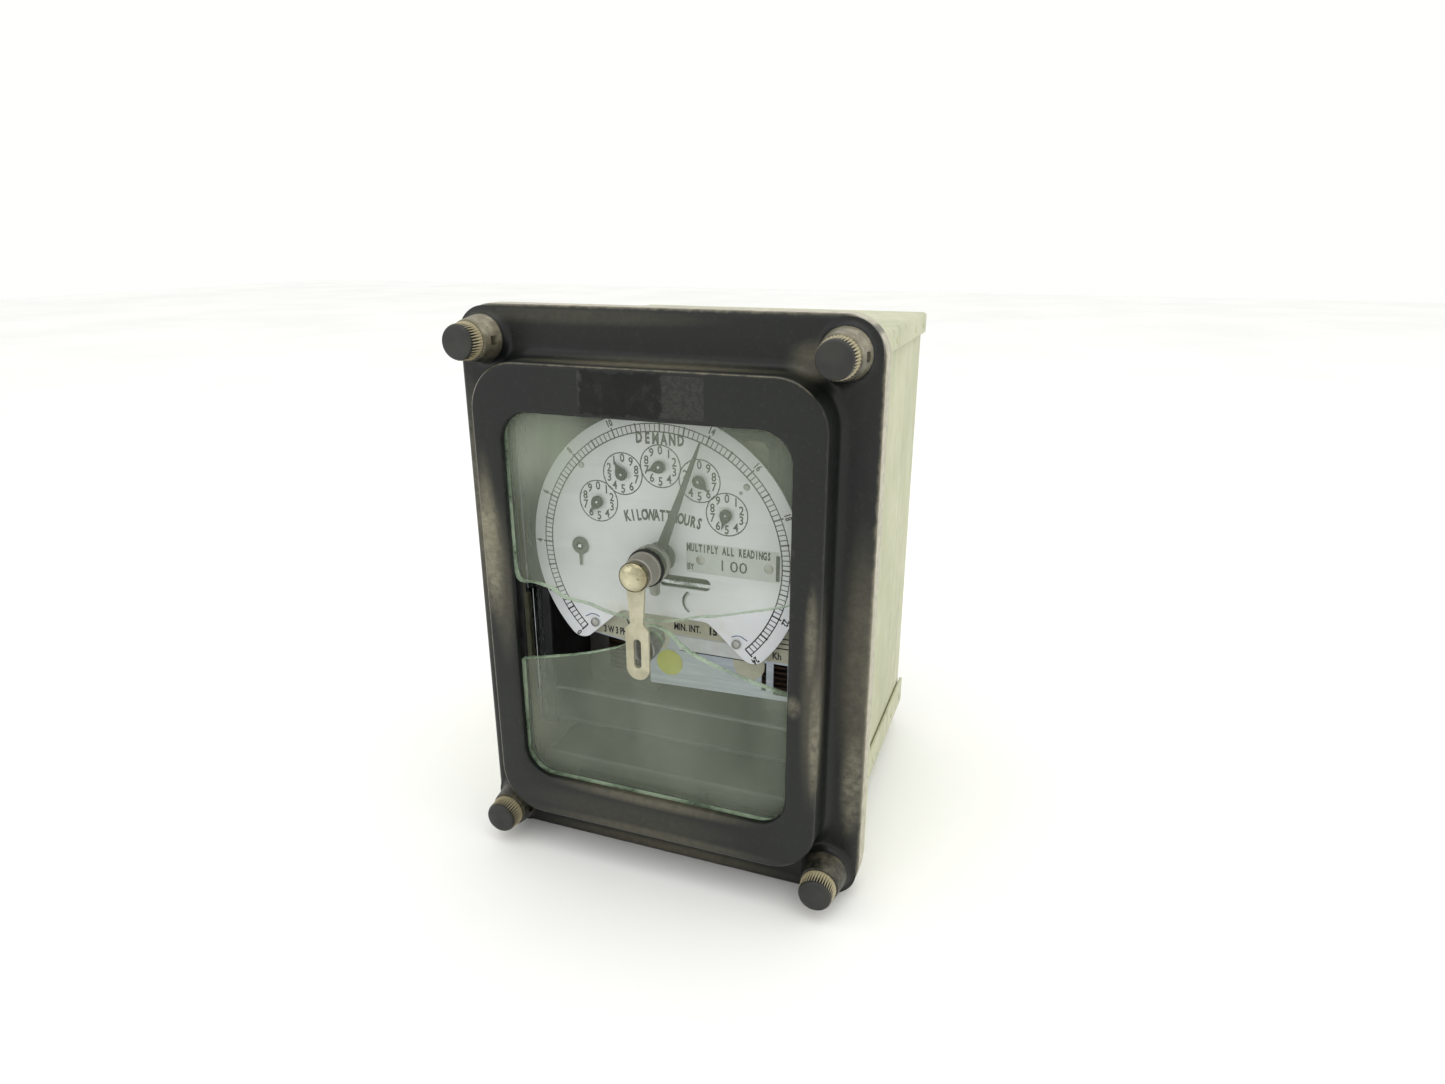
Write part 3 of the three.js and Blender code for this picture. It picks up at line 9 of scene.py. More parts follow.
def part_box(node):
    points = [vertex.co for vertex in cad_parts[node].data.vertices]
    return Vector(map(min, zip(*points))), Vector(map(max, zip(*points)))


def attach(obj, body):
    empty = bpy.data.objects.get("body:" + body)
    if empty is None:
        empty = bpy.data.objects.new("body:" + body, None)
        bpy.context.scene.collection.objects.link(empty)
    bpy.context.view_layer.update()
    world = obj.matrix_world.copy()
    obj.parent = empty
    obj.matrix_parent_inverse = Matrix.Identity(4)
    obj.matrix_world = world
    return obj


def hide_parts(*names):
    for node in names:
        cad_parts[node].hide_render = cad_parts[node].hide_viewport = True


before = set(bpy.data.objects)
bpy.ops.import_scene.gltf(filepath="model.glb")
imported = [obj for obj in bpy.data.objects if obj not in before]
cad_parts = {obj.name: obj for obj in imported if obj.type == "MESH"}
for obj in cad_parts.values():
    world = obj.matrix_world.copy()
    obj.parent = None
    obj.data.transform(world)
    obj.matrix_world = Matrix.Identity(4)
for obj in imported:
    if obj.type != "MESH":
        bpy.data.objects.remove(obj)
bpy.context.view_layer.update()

# Shapes are drawn in millimetres in the cover's own frame, as the model's source does: x to the
# right, y back from the face of the raised frame, z up from the middle of the cover.
MM = 0.001
FACE_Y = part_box("cover_frame")[0].y
MID_Z = (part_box("cover_frame")[0].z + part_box("cover_frame")[1].z) / 2


def at(x, y, z):
    """A point of the cover's frame, in metres in the object's frame."""
    return Vector((x * MM, FACE_Y + y * MM, MID_Z + z * MM))


class Span:
    """A node's extent in the cover's frame, in millimetres."""

    def __init__(self, node):
        lo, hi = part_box(node)
        self.x0, self.x1 = lo.x / MM, hi.x / MM
        self.y0, self.y1 = (lo.y - FACE_Y) / MM, (hi.y - FACE_Y) / MM
        self.z0, self.z1 = (lo.z - MID_Z) / MM, (hi.z - MID_Z) / MM
        self.x, self.y, self.z = (self.x0 + self.x1) / 2, (self.y0 + self.y1) / 2, (self.z0 + self.z1) / 2


# ---- Shapes ----
class Shape:
    """A mesh being gathered in the cover's frame. Each face has a mark, its material's number."""

    def __init__(self):
        self.verts, self.faces, self.marks = [], [], []

    def add(self, verts, faces, mark=0):
        base = len(self.verts)
        self.verts += [tuple(v) for v in verts]
        self.faces += [[i + base for i in face] for face in faces]
        self.marks += [mark] * len(faces)

    def loft(self, loops, mark=0, wrap=False, caps=False):
        count, rings = len(loops[0]), len(loops)
        faces = []
        for a in range(rings if wrap else rings - 1):
            b = (a + 1) % rings
            faces += [(a * count + i, a * count + (i + 1) % count, b * count + (i + 1) % count, b * count + i)
                      for i in range(count)]
        if caps:
            faces += [tuple(range(count)), tuple((rings - 1) * count + i for i in range(count))]
        self.add([p for loop in loops for p in loop], faces, mark)

    def lathe(self, profile, x, z, segments=32, mark=0, y=None, wrap=False):
        """Turns (radius, depth) points about an axis along Y, or (radius, height) about an upright one."""
        turns = [2 * math.pi * i / segments for i in range(segments)]
        if y is None:
            loops = [[(x + r * math.cos(t), d, z + r * math.sin(t)) for t in turns] for r, d in profile]
        else:
            loops = [[(x + r * math.cos(t), y + r * math.sin(t), h) for t in turns] for r, h in profile]
        self.loft(loops, mark, wrap)

    def box(self, x0, x1, y0, y1, z0, z1, mark=0):
        corners = [(x, y, z) for z in (z0, z1) for y in (y0, y1) for x in (x0, x1)]
        faces = [(0, 1, 3, 2), (4, 5, 7, 6), (0, 1, 5, 4), (2, 3, 7, 6), (0, 2, 6, 4), (1, 3, 7, 5)]
        self.add(corners, faces, mark)

    def plate(self, outlines, y0, y1, bevel=0.0, mark=0, edge_mark=None):
        """A flat plate facing -Y: the first outline is its edge and the others are holes."""
        curve = bpy.data.curves.new("outline", "CURVE")
        curve.dimensions = "2D"
        curve.fill_mode = "BOTH"
        curve.extrude = (y1 - y0) / 2 - bevel
        curve.bevel_depth = bevel
        curve.bevel_resolution = 1
        curve.offset = -bevel
        for points in outlines:
            spline = curve.splines.new("POLY")
            spline.points.add(len(points) - 1)
            for point, (x, z) in zip(spline.points, points):
                point.co = (x, z, 0, 1)
            spline.use_cyclic_u = True
        self.flat(curve, (y0 + y1) / 2, mark, edge_mark)

    def flat(self, curve, y, mark, edge_mark=None, place=Matrix.Identity(4)):
        holder = bpy.data.objects.new("outline", curve)
        mesh = bpy.data.meshes.new_from_object(holder)
        mesh.transform(place)
        verts = [(v.co.x, y - v.co.z, v.co.y) for v in mesh.vertices]
        base = len(self.verts)
        self.verts += verts
        for face in mesh.polygons:
            self.faces.append([i + base for i in face.vertices])
            flat_face = abs(face.normal.z) > 0.9
            self.marks.append(mark if flat_face or edge_mark is None else edge_mark)
        bpy.data.objects.remove(holder)
        bpy.data.meshes.remove(mesh)
        bpy.data.curves.remove(curve)

    def letters(self, text, height, x, z, y, turn=0.0, squeeze=0.8, weight=0.0, mark=0, depth=0.05,
                align="CENTER"):
        """Thin raised lettering facing -Y. `height` is a capital's, and it turns anticlockwise in radians."""
        curve = bpy.data.curves.new("letters", "FONT")
        curve.body = text
        curve.size = height / CAPITAL_SHARE
        curve.align_x = align
        curve.align_y = "CENTER"
        curve.resolution_u = 2
        curve.extrude = depth / 2
        curve.offset = weight * height
        place = Matrix.Translation((x, z, 0)) @ Matrix.Rotation(turn, 4,
                                                                "Z") @ Matrix.Diagonal((squeeze, 1, 1, 1))
        self.flat(curve, y - depth / 2, mark, place=place)

    def stroke(self, points, width, y, depth=0.05, mark=0, closed=False):
        """A thin raised line through (x, z) points, facing -Y."""
        count = len(points)
        left, right = [], []
        for i, (x, z) in enumerate(points):
            ax, az = points[i - 1] if (i or closed) else points[i]
            bx, bz = points[(i + 1) % count] if (i < count - 1 or closed) else points[i]
            length = math.hypot(bx - ax, bz - az) or 1.0
            nx, nz = -(bz - az) / length * width / 2, (bx - ax) / length * width / 2
            left.append((x + nx, z + nz))
            right.append((x - nx, z - nz))
        loops = [[(lx, y, lz), (lx, y - depth, lz), (rx, y - depth, rz), (rx, y, rz)]
                 for (lx, lz), (rx, rz) in zip(left, right)]
        self.loft(loops, mark, wrap=closed, caps=not closed)


CAPITAL_SHARE = 0.7       # a capital's height over the built-in font's size


def rounded(w, h, r, cx=0.0, cz=0.0, steps=8):
    """A rounded rectangle's outline, anticlockwise from the right-hand side."""
    points = []
    for quarter, (sx, sz) in enumerate([(1, 1), (-1, 1), (-1, -1), (1, -1)]):
        for i in range(steps + 1):
            angle = math.pi / 2 * (quarter + i / steps)
            points.append((cx + sx * (w / 2 - r) + r * math.cos(angle),
                           cz + sz * (h / 2 - r) + r * math.sin(angle)))
    return points


def circle(x, z, r, steps=32):
    return [(x + r * math.cos(2 * math.pi * i / steps),
             z + r * math.sin(2 * math.pi * i / steps)) for i in range(steps)]


def arc(x, z, r, start, end, steps):
    """Points of an arc; angles are in degrees anticlockwise from +X."""
    angles = [math.radians(start + (end - start) * i / steps) for i in range(steps + 1)]
    return [(x + r * math.cos(a), z + r * math.sin(a)) for a in angles]


def smooth(mesh, angle=35):
    mesh.polygons.foreach_set("use_smooth", [True] * len(mesh.polygons))
    mesh.set_sharp_from_angle(angle=math.radians(angle))


JOIN_DISTANCE = 0.003 * MM
THIN_DISTANCE = 0.001 * MM


def solid(name, shape, marks=False, join=True, thin=False):
    """Makes the gathered shape into an object, its faces turned outwards."""
    mesh = bpy.data.meshes.new(name)
    mesh.from_pydata([at(*v) for v in shape.verts], [], shape.faces)
    if marks:
        mesh.polygons.foreach_set("material_index", shape.marks)
    work = bmesh.new()
    work.from_mesh(mesh)
    if join:
        bmesh.ops.remove_doubles(work, verts=work.verts, dist=JOIN_DISTANCE)
    if thin:
        bmesh.ops.dissolve_degenerate(work, edges=work.edges, dist=THIN_DISTANCE)
    bmesh.ops.recalc_face_normals(work, faces=work.faces)
    work.to_mesh(mesh)
    work.free()
    obj = bpy.data.objects.new(name, mesh)
    bpy.context.scene.collection.objects.link(obj)
    return obj


def piece(name, shape, body, materials, replaces=(), angle=35, wear=None):
    """Makes the gathered shape into a piece that rides on a body and stands for CAD nodes."""
    obj = solid(name, shape, marks=True, thin=True)
    return dress(obj, body, materials, replaces, angle, wear)


def dress(obj, body, materials, replaces, angle=35, wear=None):
    if obj.data.materials:
        obj.data.materials.clear()
    for material in materials if isinstance(materials, (list, tuple)) else [materials]:
        obj.data.materials.append(material)
    smooth(obj.data, angle)
    if wear:
        layer = obj.data.attributes.new("wear", "FLOAT", "POINT")
        values = [wear(v.co.x / MM, (v.co.y - FACE_Y) / MM, (v.co.z - MID_Z) / MM) for v in obj.data.vertices]
        layer.data.foreach_set("value", values)
    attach(obj, body)
    if replaces:
        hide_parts(*replaces)
    return obj


def apply_modifiers(obj):
    depsgraph = bpy.context.evaluated_depsgraph_get()
    mesh = bpy.data.meshes.new_from_object(obj.evaluated_get(depsgraph))
    obj.modifiers.clear()
    obj.data = mesh


def eased(node, body, materials, width, segments=2, wear=None, merge=True):
    """A copy of a CAD node with its edges rounded off, its flat faces first joined up if they are simple."""
    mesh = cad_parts[node].data.copy()
    work = bmesh.new()
    work.from_mesh(mesh)
    bmesh.ops.remove_doubles(work, verts=work.verts, dist=0.002 * MM)
    if merge:
        bmesh.ops.dissolve_limit(work, angle_limit=math.radians(1), verts=work.verts, edges=work.edges)
    work.to_mesh(mesh)
    work.free()
    obj = bpy.data.objects.new(node + "_eased", mesh)
    bpy.context.scene.collection.objects.link(obj)
    bevel = obj.modifiers.new("ease", "BEVEL")
    bevel.width = width * MM
    bevel.segments = segments
    bevel.limit_method = "ANGLE"
    bevel.angle_limit = math.radians(30)
    bevel.harden_normals = False
    apply_modifiers(obj)
    return dress(obj, body, materials, [node], angle=50, wear=wear)


def boolean(obj, shape, operation):
    """Joins a shape to an object or cuts it out."""
    tool = solid("tool", shape)
    modifier = obj.modifiers.new("cut", "BOOLEAN")
    modifier.operation = operation
    modifier.solver = "MANIFOLD"
    modifier.object = tool
    apply_modifiers(obj)
    bpy.data.objects.remove(tool)


# ---- Materials ----
def rgb(r, g, b):
    """A colour given as 0 to 255 screen values."""
    return tuple((c / 255 / 12.92) if c <= 10 else ((c / 255 + 0.055) / 1.055) ** 2.4 for c in (r, g,
                                                                                                b)) + (1.0,)


class Finish:
    """A node material. Its patterns are laid out in the object's own metres."""

    def __init__(self, name, **sockets):
        self.material = bpy.data.materials.new(name)
        self.material.use_nodes = True
        self.tree = self.material.node_tree
        self.shader = self.tree.nodes["Principled BSDF"]
        self.place = self.tree.nodes.new("ShaderNodeTexCoord").outputs["Object"]
        for socket, value in sockets.items():
            self.shader.inputs[socket.replace("_", " ")].default_value = value

    def feed(self, value, socket):
        if isinstance(value, bpy.types.NodeSocket):
            self.tree.links.new(value, socket)
        else:
            socket.default_value = value

    def noise(self, scale, detail=3.0, rough=0.5, stretch=(1, 1, 1), warp=0.0, shift=(0, 0, 0)):
        mapping = self.tree.nodes.new("ShaderNodeMapping")
        mapping.inputs["Location"].default_value = shift
        mapping.inputs["Scale"].default_value = stretch
        self.tree.links.new(self.place, mapping.inputs["Vector"])
        node = self.tree.nodes.new("ShaderNodeTexNoise")
        self.tree.links.new(mapping.outputs[0], node.inputs["Vector"])
        node.inputs["Scale"].default_value = scale
        node.inputs["Detail"].default_value = detail
        node.inputs["Roughness"].default_value = rough
        node.inputs["Distortion"].default_value = warp
        return node.outputs["Fac"]

    def cells(self, scale, stretch=(1, 1, 1)):
        mapping = self.tree.nodes.new("ShaderNodeMapping")
        mapping.inputs["Scale"].default_value = stretch
        self.tree.links.new(self.place, mapping.inputs["Vector"])
        node = self.tree.nodes.new("ShaderNodeTexVoronoi")
        self.tree.links.new(mapping.outputs[0], node.inputs["Vector"])
        node.inputs["Scale"].default_value = scale
        return node.outputs["Distance"]

    def band(self, value, low, high, start=0.0, end=1.0):
        node = self.tree.nodes.new("ShaderNodeMapRange")
        node.interpolation_type = "SMOOTHSTEP"
        self.feed(value, node.inputs["Value"])
        for socket, number in zip(("From Min", "From Max", "To Min", "To Max"), (low, high, start, end)):
            node.inputs[socket].default_value = number
        return node.outputs["Result"]

    def maths(self, operation, a, b=0.0):
        node = self.tree.nodes.new("ShaderNodeMath")
        node.operation = operation
        self.feed(a, node.inputs[0])
        self.feed(b, node.inputs[1])
        return node.outputs[0]

    def times(self, a, b):
        return self.maths("MULTIPLY", a, b)

    def mix(self, factor, a, b):
        node = self.tree.nodes.new("ShaderNodeMix")
        node.data_type = "RGBA"
        self.feed(factor, node.inputs[0])
        self.feed(a, node.inputs[6])
        self.feed(b, node.inputs[7])
        return node.outputs[2]

    def axis(self, name):
        node = self.tree.nodes.new("ShaderNodeSeparateXYZ")
        self.tree.links.new(self.place, node.inputs[0])
        return node.outputs[name]

    def attribute(self, name):
        node = self.tree.nodes.new("ShaderNodeAttribute")
        node.attribute_name = name
        return node.outputs["Fac"]

    def spot(self, x, y, z, rx, ry, rz):
        """1 at a point of the cover's frame, falling smoothly to 0 at the given millimetre radii."""
        centre = at(x, y, z)
        mapping = self.tree.nodes.new("ShaderNodeMapping")
        mapping.vector_type = "TEXTURE"
        mapping.inputs["Location"].default_value = centre
        mapping.inputs["Scale"].default_value = (rx * MM, ry * MM, rz * MM)
        self.tree.links.new(self.place, mapping.inputs["Vector"])
        length = self.tree.nodes.new("ShaderNodeVectorMath")
        length.operation = "LENGTH"
        self.tree.links.new(mapping.outputs[0], length.inputs[0])
        return self.band(length.outputs["Value"], 1.0, 0.25)

    def spots(self, places):
        total = None
        for *place, strength in places:
            one = self.times(self.spot(*place), strength)
            total = one if total is None else self.maths("MAXIMUM", total, one)
        return total

    def within(self, value, low, high, soft):
        """1 between two millimetre places along an axis, fading over the soft distance outside them."""
        rise = self.band(value, (low - soft) * MM, low * MM)
        return self.times(rise, self.band(value, (high + soft) * MM, high * MM))

    def colour(self, value):
        self.feed(value, self.shader.inputs["Base Color"])

    def roughness(self, value):
        self.feed(value, self.shader.inputs["Roughness"])

    def bump(self, height, distance, strength=1.0):
        node = self.tree.nodes.new("ShaderNodeBump")
        node.inputs["Distance"].default_value = distance * MM
        node.inputs["Strength"].default_value = strength
        self.feed(height, node.inputs["Height"])
        if self.shader.inputs["Normal"].is_linked:
            self.tree.links.new(self.shader.inputs["Normal"].links[0].from_socket, node.inputs["Normal"])
        self.tree.links.new(node.outputs[0], self.shader.inputs["Normal"])


def cover_paint():
    """Old satin black: dusty olive on the slopes, rubbed to khaki on the edges, with label residue; the khaki
    mix also carries a painted highlight on the upper right of the nut bosses.
    """
    f = Finish("cover_paint", Specular_IOR_Level=0.34)
    blotch = f.noise(16, 3, 0.5)
    base = f.mix(f.band(blotch, 0.3, 0.7), rgb(15, 18, 17), rgb(22, 25, 22))
    grain = f.band(f.noise(520, 4, 0.7, shift=(3, 1, 2)), 0.52, 0.75, 0, 0.12)
    base = f.mix(grain, base, rgb(80, 80, 70))
    dust = f.times(f.spots(COVER_DUST), f.band(f.noise(340, 5, 0.75), 0.2, 0.75, 0.5, 1.0))
    base = f.mix(dust, base, rgb(122, 117, 98))
    speckle = f.times(f.spots(COVER_ABRASION), f.band(f.noise(380, 5, 0.65), 0.3, 0.7, 0.3, 0.9))
    base = f.mix(speckle, base, rgb(150, 145, 124))
    # The wear attribute brings the rubbed edges and, on the nut bosses, a painted highlight; both are mixed
    # toward khaki below.
    wear = f.maths("ADD", f.attribute("wear"), f.band(f.noise(260, 5, 0.7, shift=(1, 5, 2)), 0.2, 0.8,
                                                      -0.14, 0.14))
    base = f.mix(f.band(wear, 0.12, 0.62, 0, 0.75), base, rgb(128, 122, 102))
    base = f.mix(f.band(wear, 0.5, 0.95), base, f.mix(f.noise(300, 3), rgb(176, 170, 146),
                                                      rgb(198, 193, 172)))
    ragged = f.band(f.noise(170, 5, 0.75, shift=(2, 2, 5)), 0.25, 0.75, -1.6, 1.6)
    along, up = f.maths("ADD", f.axis("X"), f.times(ragged, MM)), f.maths("ADD", f.axis("Z"),
                                                                          f.times(ragged, 0.6 * MM))
    front = f.band(f.axis("Y"), at(0, 1.5, 0)[1], at(0, 0.8, 0)[1])
    label = f.times(f.within(f.axis("X"), *RESIDUE_X, 0.4), f.within(f.axis("Z"), *RESIDUE_Z, 0.4))
    label = f.times(label, front)
    blob = f.times(f.within(along, *BLOB_X, 1.2), f.within(up, *RESIDUE_Z, 1.2))
    lumps = f.noise(520, 5, 0.8)
    base = f.mix(f.times(label, f.band(lumps, 0.44, 0.56, 0.3, 1.0)), base, rgb(46, 46, 41))
    patch = f.times(f.times(blob, front), f.band(f.noise(120, 5, 0.75), 0.34, 0.46, 0.7, 1.0))
    base = f.mix(patch, base, rgb(8, 8, 7))
    f.colour(base)
    gloss = f.band(f.noise(220, 3), 0.3, 0.7, 0.34, 0.42)
    gloss = f.maths("ADD", gloss, f.times(dust, 0.3))
    f.roughness(f.maths("ADD", gloss, f.times(patch, 0.3)))
    f.bump(f.noise(900, 2), 0.015)
    f.bump(f.noise(60, 2), 0.08)
    f.bump(f.times(label, lumps), 0.25)
    return f.material


def knob_paint():
    """The cover's black on turned knobs, whose ridges are rubbed to tan."""
    f = Finish("knob_paint")
    base = f.mix(f.band(f.noise(90, 4), 0.35, 0.7), rgb(24, 25, 22), rgb(38, 38, 33))
    wear = f.maths("ADD", f.attribute("wear"), f.band(f.noise(420, 5, 0.7), 0.2, 0.8, -0.16, 0.16))
    base = f.mix(f.band(wear, 0.25, 0.7, 0, 0.95), base, rgb(172, 162, 130))
    f.colour(base)
    f.roughness(f.band(f.noise(260, 3), 0.3, 0.7, 0.42, 0.58))
    f.bump(f.noise(1600, 2), 0.012)
    return f.material


def case_paint():
    """Pale sage machine paint, streaked downwards, with chips and grime."""
    f = Finish("case_paint")
    broad = f.noise(14, 4, 0.6)
    base = f.mix(f.band(broad, 0.3, 0.7), rgb(180, 183, 152), rgb(194, 195, 166))
    streak = f.noise(160, 5, 0.65, stretch=(1, 1, 0.035))
    base = f.mix(f.band(streak, 0.5, 0.78, 0, 0.5), base, rgb(148, 152, 124))
    pale = f.noise(240, 4, 0.6, stretch=(1, 1, 0.05), shift=(4, 2, 0))
    base = f.mix(f.band(pale, 0.58, 0.75, 0, 0.4), base, rgb(216, 216, 192))
    grime = f.band(f.noise(60, 6, 0.75, shift=(7, 3, 1)), 0.6, 0.78, 0, 0.55)
    base = f.mix(grime, base, rgb(136, 136, 108))
    chips = f.band(f.cells(55), 0.035, 0.02)
    base = f.mix(f.times(chips, f.band(f.noise(30, 2, shift=(2, 2, 2)), 0.52, 0.6)), base, rgb(84, 82, 70))
    wear = f.maths("ADD", f.attribute("wear"), f.band(f.noise(150, 5, 0.7), 0.2, 0.8, -0.4, 0.4))
    base = f.mix(f.band(wear, 0.6, 0.9, 0, 0.7), base, rgb(120, 116, 98))
    f.colour(base)
    f.roughness(f.band(f.noise(120, 4), 0.3, 0.7, 0.48, 0.66))
    f.bump(f.noise(700, 3), 0.03)
    f.bump(f.noise(14, 2), 0.3)
    return f.material


def metal(name, dark, light, rough=(0.3, 0.45), grain=(1, 1, 1), scale=300, metallic=1.0, specks=None,
          bump=0.02, rim_shade=None):
    """A bare or plated metal with directional grain, tarnish clouds, optional dark specks and an optional
    painted shade outside a lighter centre spot.
    """
    f = Finish(name, Metallic=metallic)
    cloud = f.noise(scale / 6, 4, 0.6)
    base = f.mix(f.band(cloud, 0.3, 0.7), rgb(*dark), rgb(*light))
    hair = f.noise(scale, 4, 0.6, stretch=grain)
    base = f.mix(f.band(hair, 0.35, 0.75, 0, 0.4), base, rgb(*light))
    if specks:
        pits = f.band(f.noise(scale * 2.4, 5, 0.75, shift=(3, 3, 3)), 0.6, 0.68)
        base = f.mix(pits, base, rgb(*specks))
    # Painted shade: outside the given spot the metal is mixed darker and browner, standing in for the dark
    # reflections round a domed knob's rim. The spot's centre stays light as a painted highlight.
    if rim_shade:
        base = f.mix(f.spot(*rim_shade), f.mix(0.6, base, rgb(96, 84, 52)), base)
    f.colour(base)
    f.roughness(f.band(hair, 0.25, 0.75, *rough))
    f.bump(hair, bump)
    return f.material


def enamel():
    """The dial's white enamel, slightly yellowed and cloudy."""
    f = Finish("dial_enamel")
    base = f.mix(f.band(f.noise(40, 4, 0.6), 0.3, 0.7), rgb(212, 215, 218), rgb(221, 224, 227))
    stain = f.times(f.spot(0, 20, -6, 52, 40, 9), f.band(f.noise(55, 4, 0.6), 0.4, 0.7, 0, 0.45))
    base = f.mix(stain, base, rgb(190, 180, 156))
    f.colour(base)
    f.roughness(f.band(f.noise(200, 3), 0.3, 0.7, 0.38, 0.5))
    f.bump(f.noise(900, 2), 0.006)
    return f.material


def ink(name="ink", dark=(10, 11, 12), light=(26, 28, 30)):
    f = Finish(name)
    f.colour(f.mix(f.band(f.noise(900, 4, 0.7), 0.4, 0.7), rgb(*dark), rgb(*light)))
    f.roughness(f.band(f.noise(500, 2), 0.3, 0.7, 0.5, 0.7))
    return f.material


def moulded(name, dark, light, rough=(0.35, 0.5), scale=120, bump=0.02):
    """Moulded or painted material with mottling and a slight skin texture."""
    f = Finish(name)
    base = f.mix(f.band(f.noise(scale, 5, 0.65), 0.3, 0.72), rgb(*dark), rgb(*light))
    f.colour(base)
    f.roughness(f.band(f.noise(scale * 2, 3), 0.3, 0.7, *rough))
    f.bump(f.noise(scale * 7, 3), bump)
    return f.material


def window_glass():
    """A dusty pane: mostly clear, with a milky grey-green film that thickens in patches."""
    f = Finish("window_glass", IOR=1.5)
    film = f.mix(f.band(f.noise(22, 4, 0.6), 0.3, 0.7), rgb(166, 178, 156), rgb(186, 196, 176))
    f.colour(film)
    wipes = f.noise(36, 5, 0.65, stretch=(1, 1, 0.35), warp=0.6)
    specks = f.band(f.noise(900, 3, 0.7), 0.66, 0.72, 0, 0.08)
    haze = f.times(f.spots(GLASS_HAZE), f.band(wipes, 0.2, 0.8, 0.6, 1.0))
    veil = f.maths("ADD", f.maths("ADD", f.band(wipes, 0.25, 0.8, *GLASS_VEIL), specks), haze)
    f.feed(veil, f.shader.inputs["Alpha"])
    f.roughness(f.band(wipes, 0.3, 0.8, 0.08, 0.2))
    return f.material


def glass_edge():
    """The broken and ground edges of the panes: pale green, brighter where they catch the light."""
    f = Finish("glass_edge", IOR=1.5)
    catch = f.noise(90, 4, 0.65)
    f.colour(f.mix(f.band(catch, 0.3, 0.7), rgb(136, 162, 132), rgb(192, 212, 182)))
    f.feed(f.band(catch, 0.25, 0.6, 0.4, 0.85), f.shader.inputs["Alpha"])
    f.roughness(f.band(f.noise(500, 2), 0.3, 0.7, 0.12, 0.35))
    f.bump(f.noise(800, 3), 0.04)
    return f.material


def laminated():
    f = Finish("laminated_steel", Metallic=0.7)
    sheet = f.maths("FRACT", f.times(f.axis("Y"), 1 / (0.5 * MM)))
    line = f.band(f.maths("ABSOLUTE", f.maths("SUBTRACT", sheet, 0.5)), 0.3, 0.48)
    rust = f.band(f.noise(120, 5, 0.7), 0.5, 0.75, 0, 0.5)
    base = f.mix(rust, f.mix(line, rgb(118, 117, 112), rgb(60, 59, 56)), rgb(112, 88, 66))
    f.colour(base)
    f.roughness(f.band(f.noise(300, 3), 0.3, 0.7, 0.4, 0.6))
    f.bump(line, -0.08)
    return f.material


def wound(name, dark, light, pitch, metallic=0.0, rough=(0.45, 0.65)):
    """Wire or tape wound in level turns of the given pitch in millimetres; each turn is painted lighter on
    its crown and darker in the grooves between turns, as painted highlight and shade.
    """
    f = Finish(name, Metallic=metallic)
    turn = f.maths("FRACT", f.times(f.axis("Z"), 1 / (pitch * MM)))
    ridge = f.band(f.maths("ABSOLUTE", f.maths("SUBTRACT", turn, 0.5)), 0.5, 0.1)
    # Painted highlight and shade: the crowns of the turns get the light colour, the grooves between them the
    # dark one.
    base = f.mix(ridge, rgb(*dark), rgb(*light))
    base = f.mix(f.band(f.noise(150, 4, 0.6), 0.45, 0.75, 0, 0.5), base, rgb(*dark))
    f.colour(base)
    f.roughness(f.band(f.noise(300, 3), 0.3, 0.7, *rough))
    f.bump(ridge, pitch * 0.35)
    return f.material


def printed_plate():
    """The nameplate's metal: satin silver with a fine brushed grain."""
    f = Finish("printed_plate", Metallic=0.35)
    hair = f.noise(500, 4, 0.6, stretch=(0.05, 1, 1))
    base = f.mix(f.band(hair, 0.3, 0.7), rgb(150, 158, 166), rgb(172, 180, 187))
    f.colour(base)
    f.roughness(f.band(hair, 0.3, 0.7, 0.35, 0.5))
    return f.material


GLASS_VEIL = (0.11, 0.18)
GLASS_HAZE = [(-52, 6, 72, 40, 30, 34, 0.2), (-10, 6, 8, 30, 30, 10, 0.05), (30, 6, 62, 40, 30, 30, 0.05)]
BASE_Z = 115.9
COVER_DUST = [
    (80, 17, -12, 9, 9, 66, 0.45), (67, 3, -20, 6, 8, 58, 0.4), (-77, 17, 10, 8, 8, 80, 0.35),
    (-66, 2, 30, 6, 8, 40, 0.62), (-62, 0, 10, 7, 3, 44, 0.3), (-72, 14, -70, 8, 8, 30, 0.38),
    (0, 8, 98, 78, 9, 3, 0.8),
    (-30, 16, 112, 70, 5, 4, 0.2), (0, 2, -94, 70, 6, 4, 0.4), (-10, 0, -88, 62, 4, 9, 0.14),
    (0, 18, -112, 84, 5, 4, 0.5), (0, 1, -79, 54, 4, 4, 0.5),
    (60, 14, 100, 12, 8, 9, 0.6), (-71, 8, 108, 12, 9, 9, 0.7),
]
COVER_ABRASION = [
    (80, 17, -62, 6, 6, 30, 0.6), (68.5, 1, -36, 3.0, 5, 34, 0.6), (66, 0, 6, 3, 3, 22, 0.4),
    (-66, 0, 22, 7, 5, 36, 0.7),
    (-67.5, 0, 34, 3, 3, 7, 0.9), (60, 0, -24, 4, 3, 6, 0.4), (-80, 17, 40, 5, 5, 60, 0.4),
]
RESIDUE_X, RESIDUE_Z, BLOB_X = (-23, 25.5), (BASE_Z + 80, BASE_Z + 94.5), (-22, 9)

PAINT = cover_paint()
KNOB = knob_paint()
CASE = case_paint()
KNOB_PLACE = Span("reset_knob")
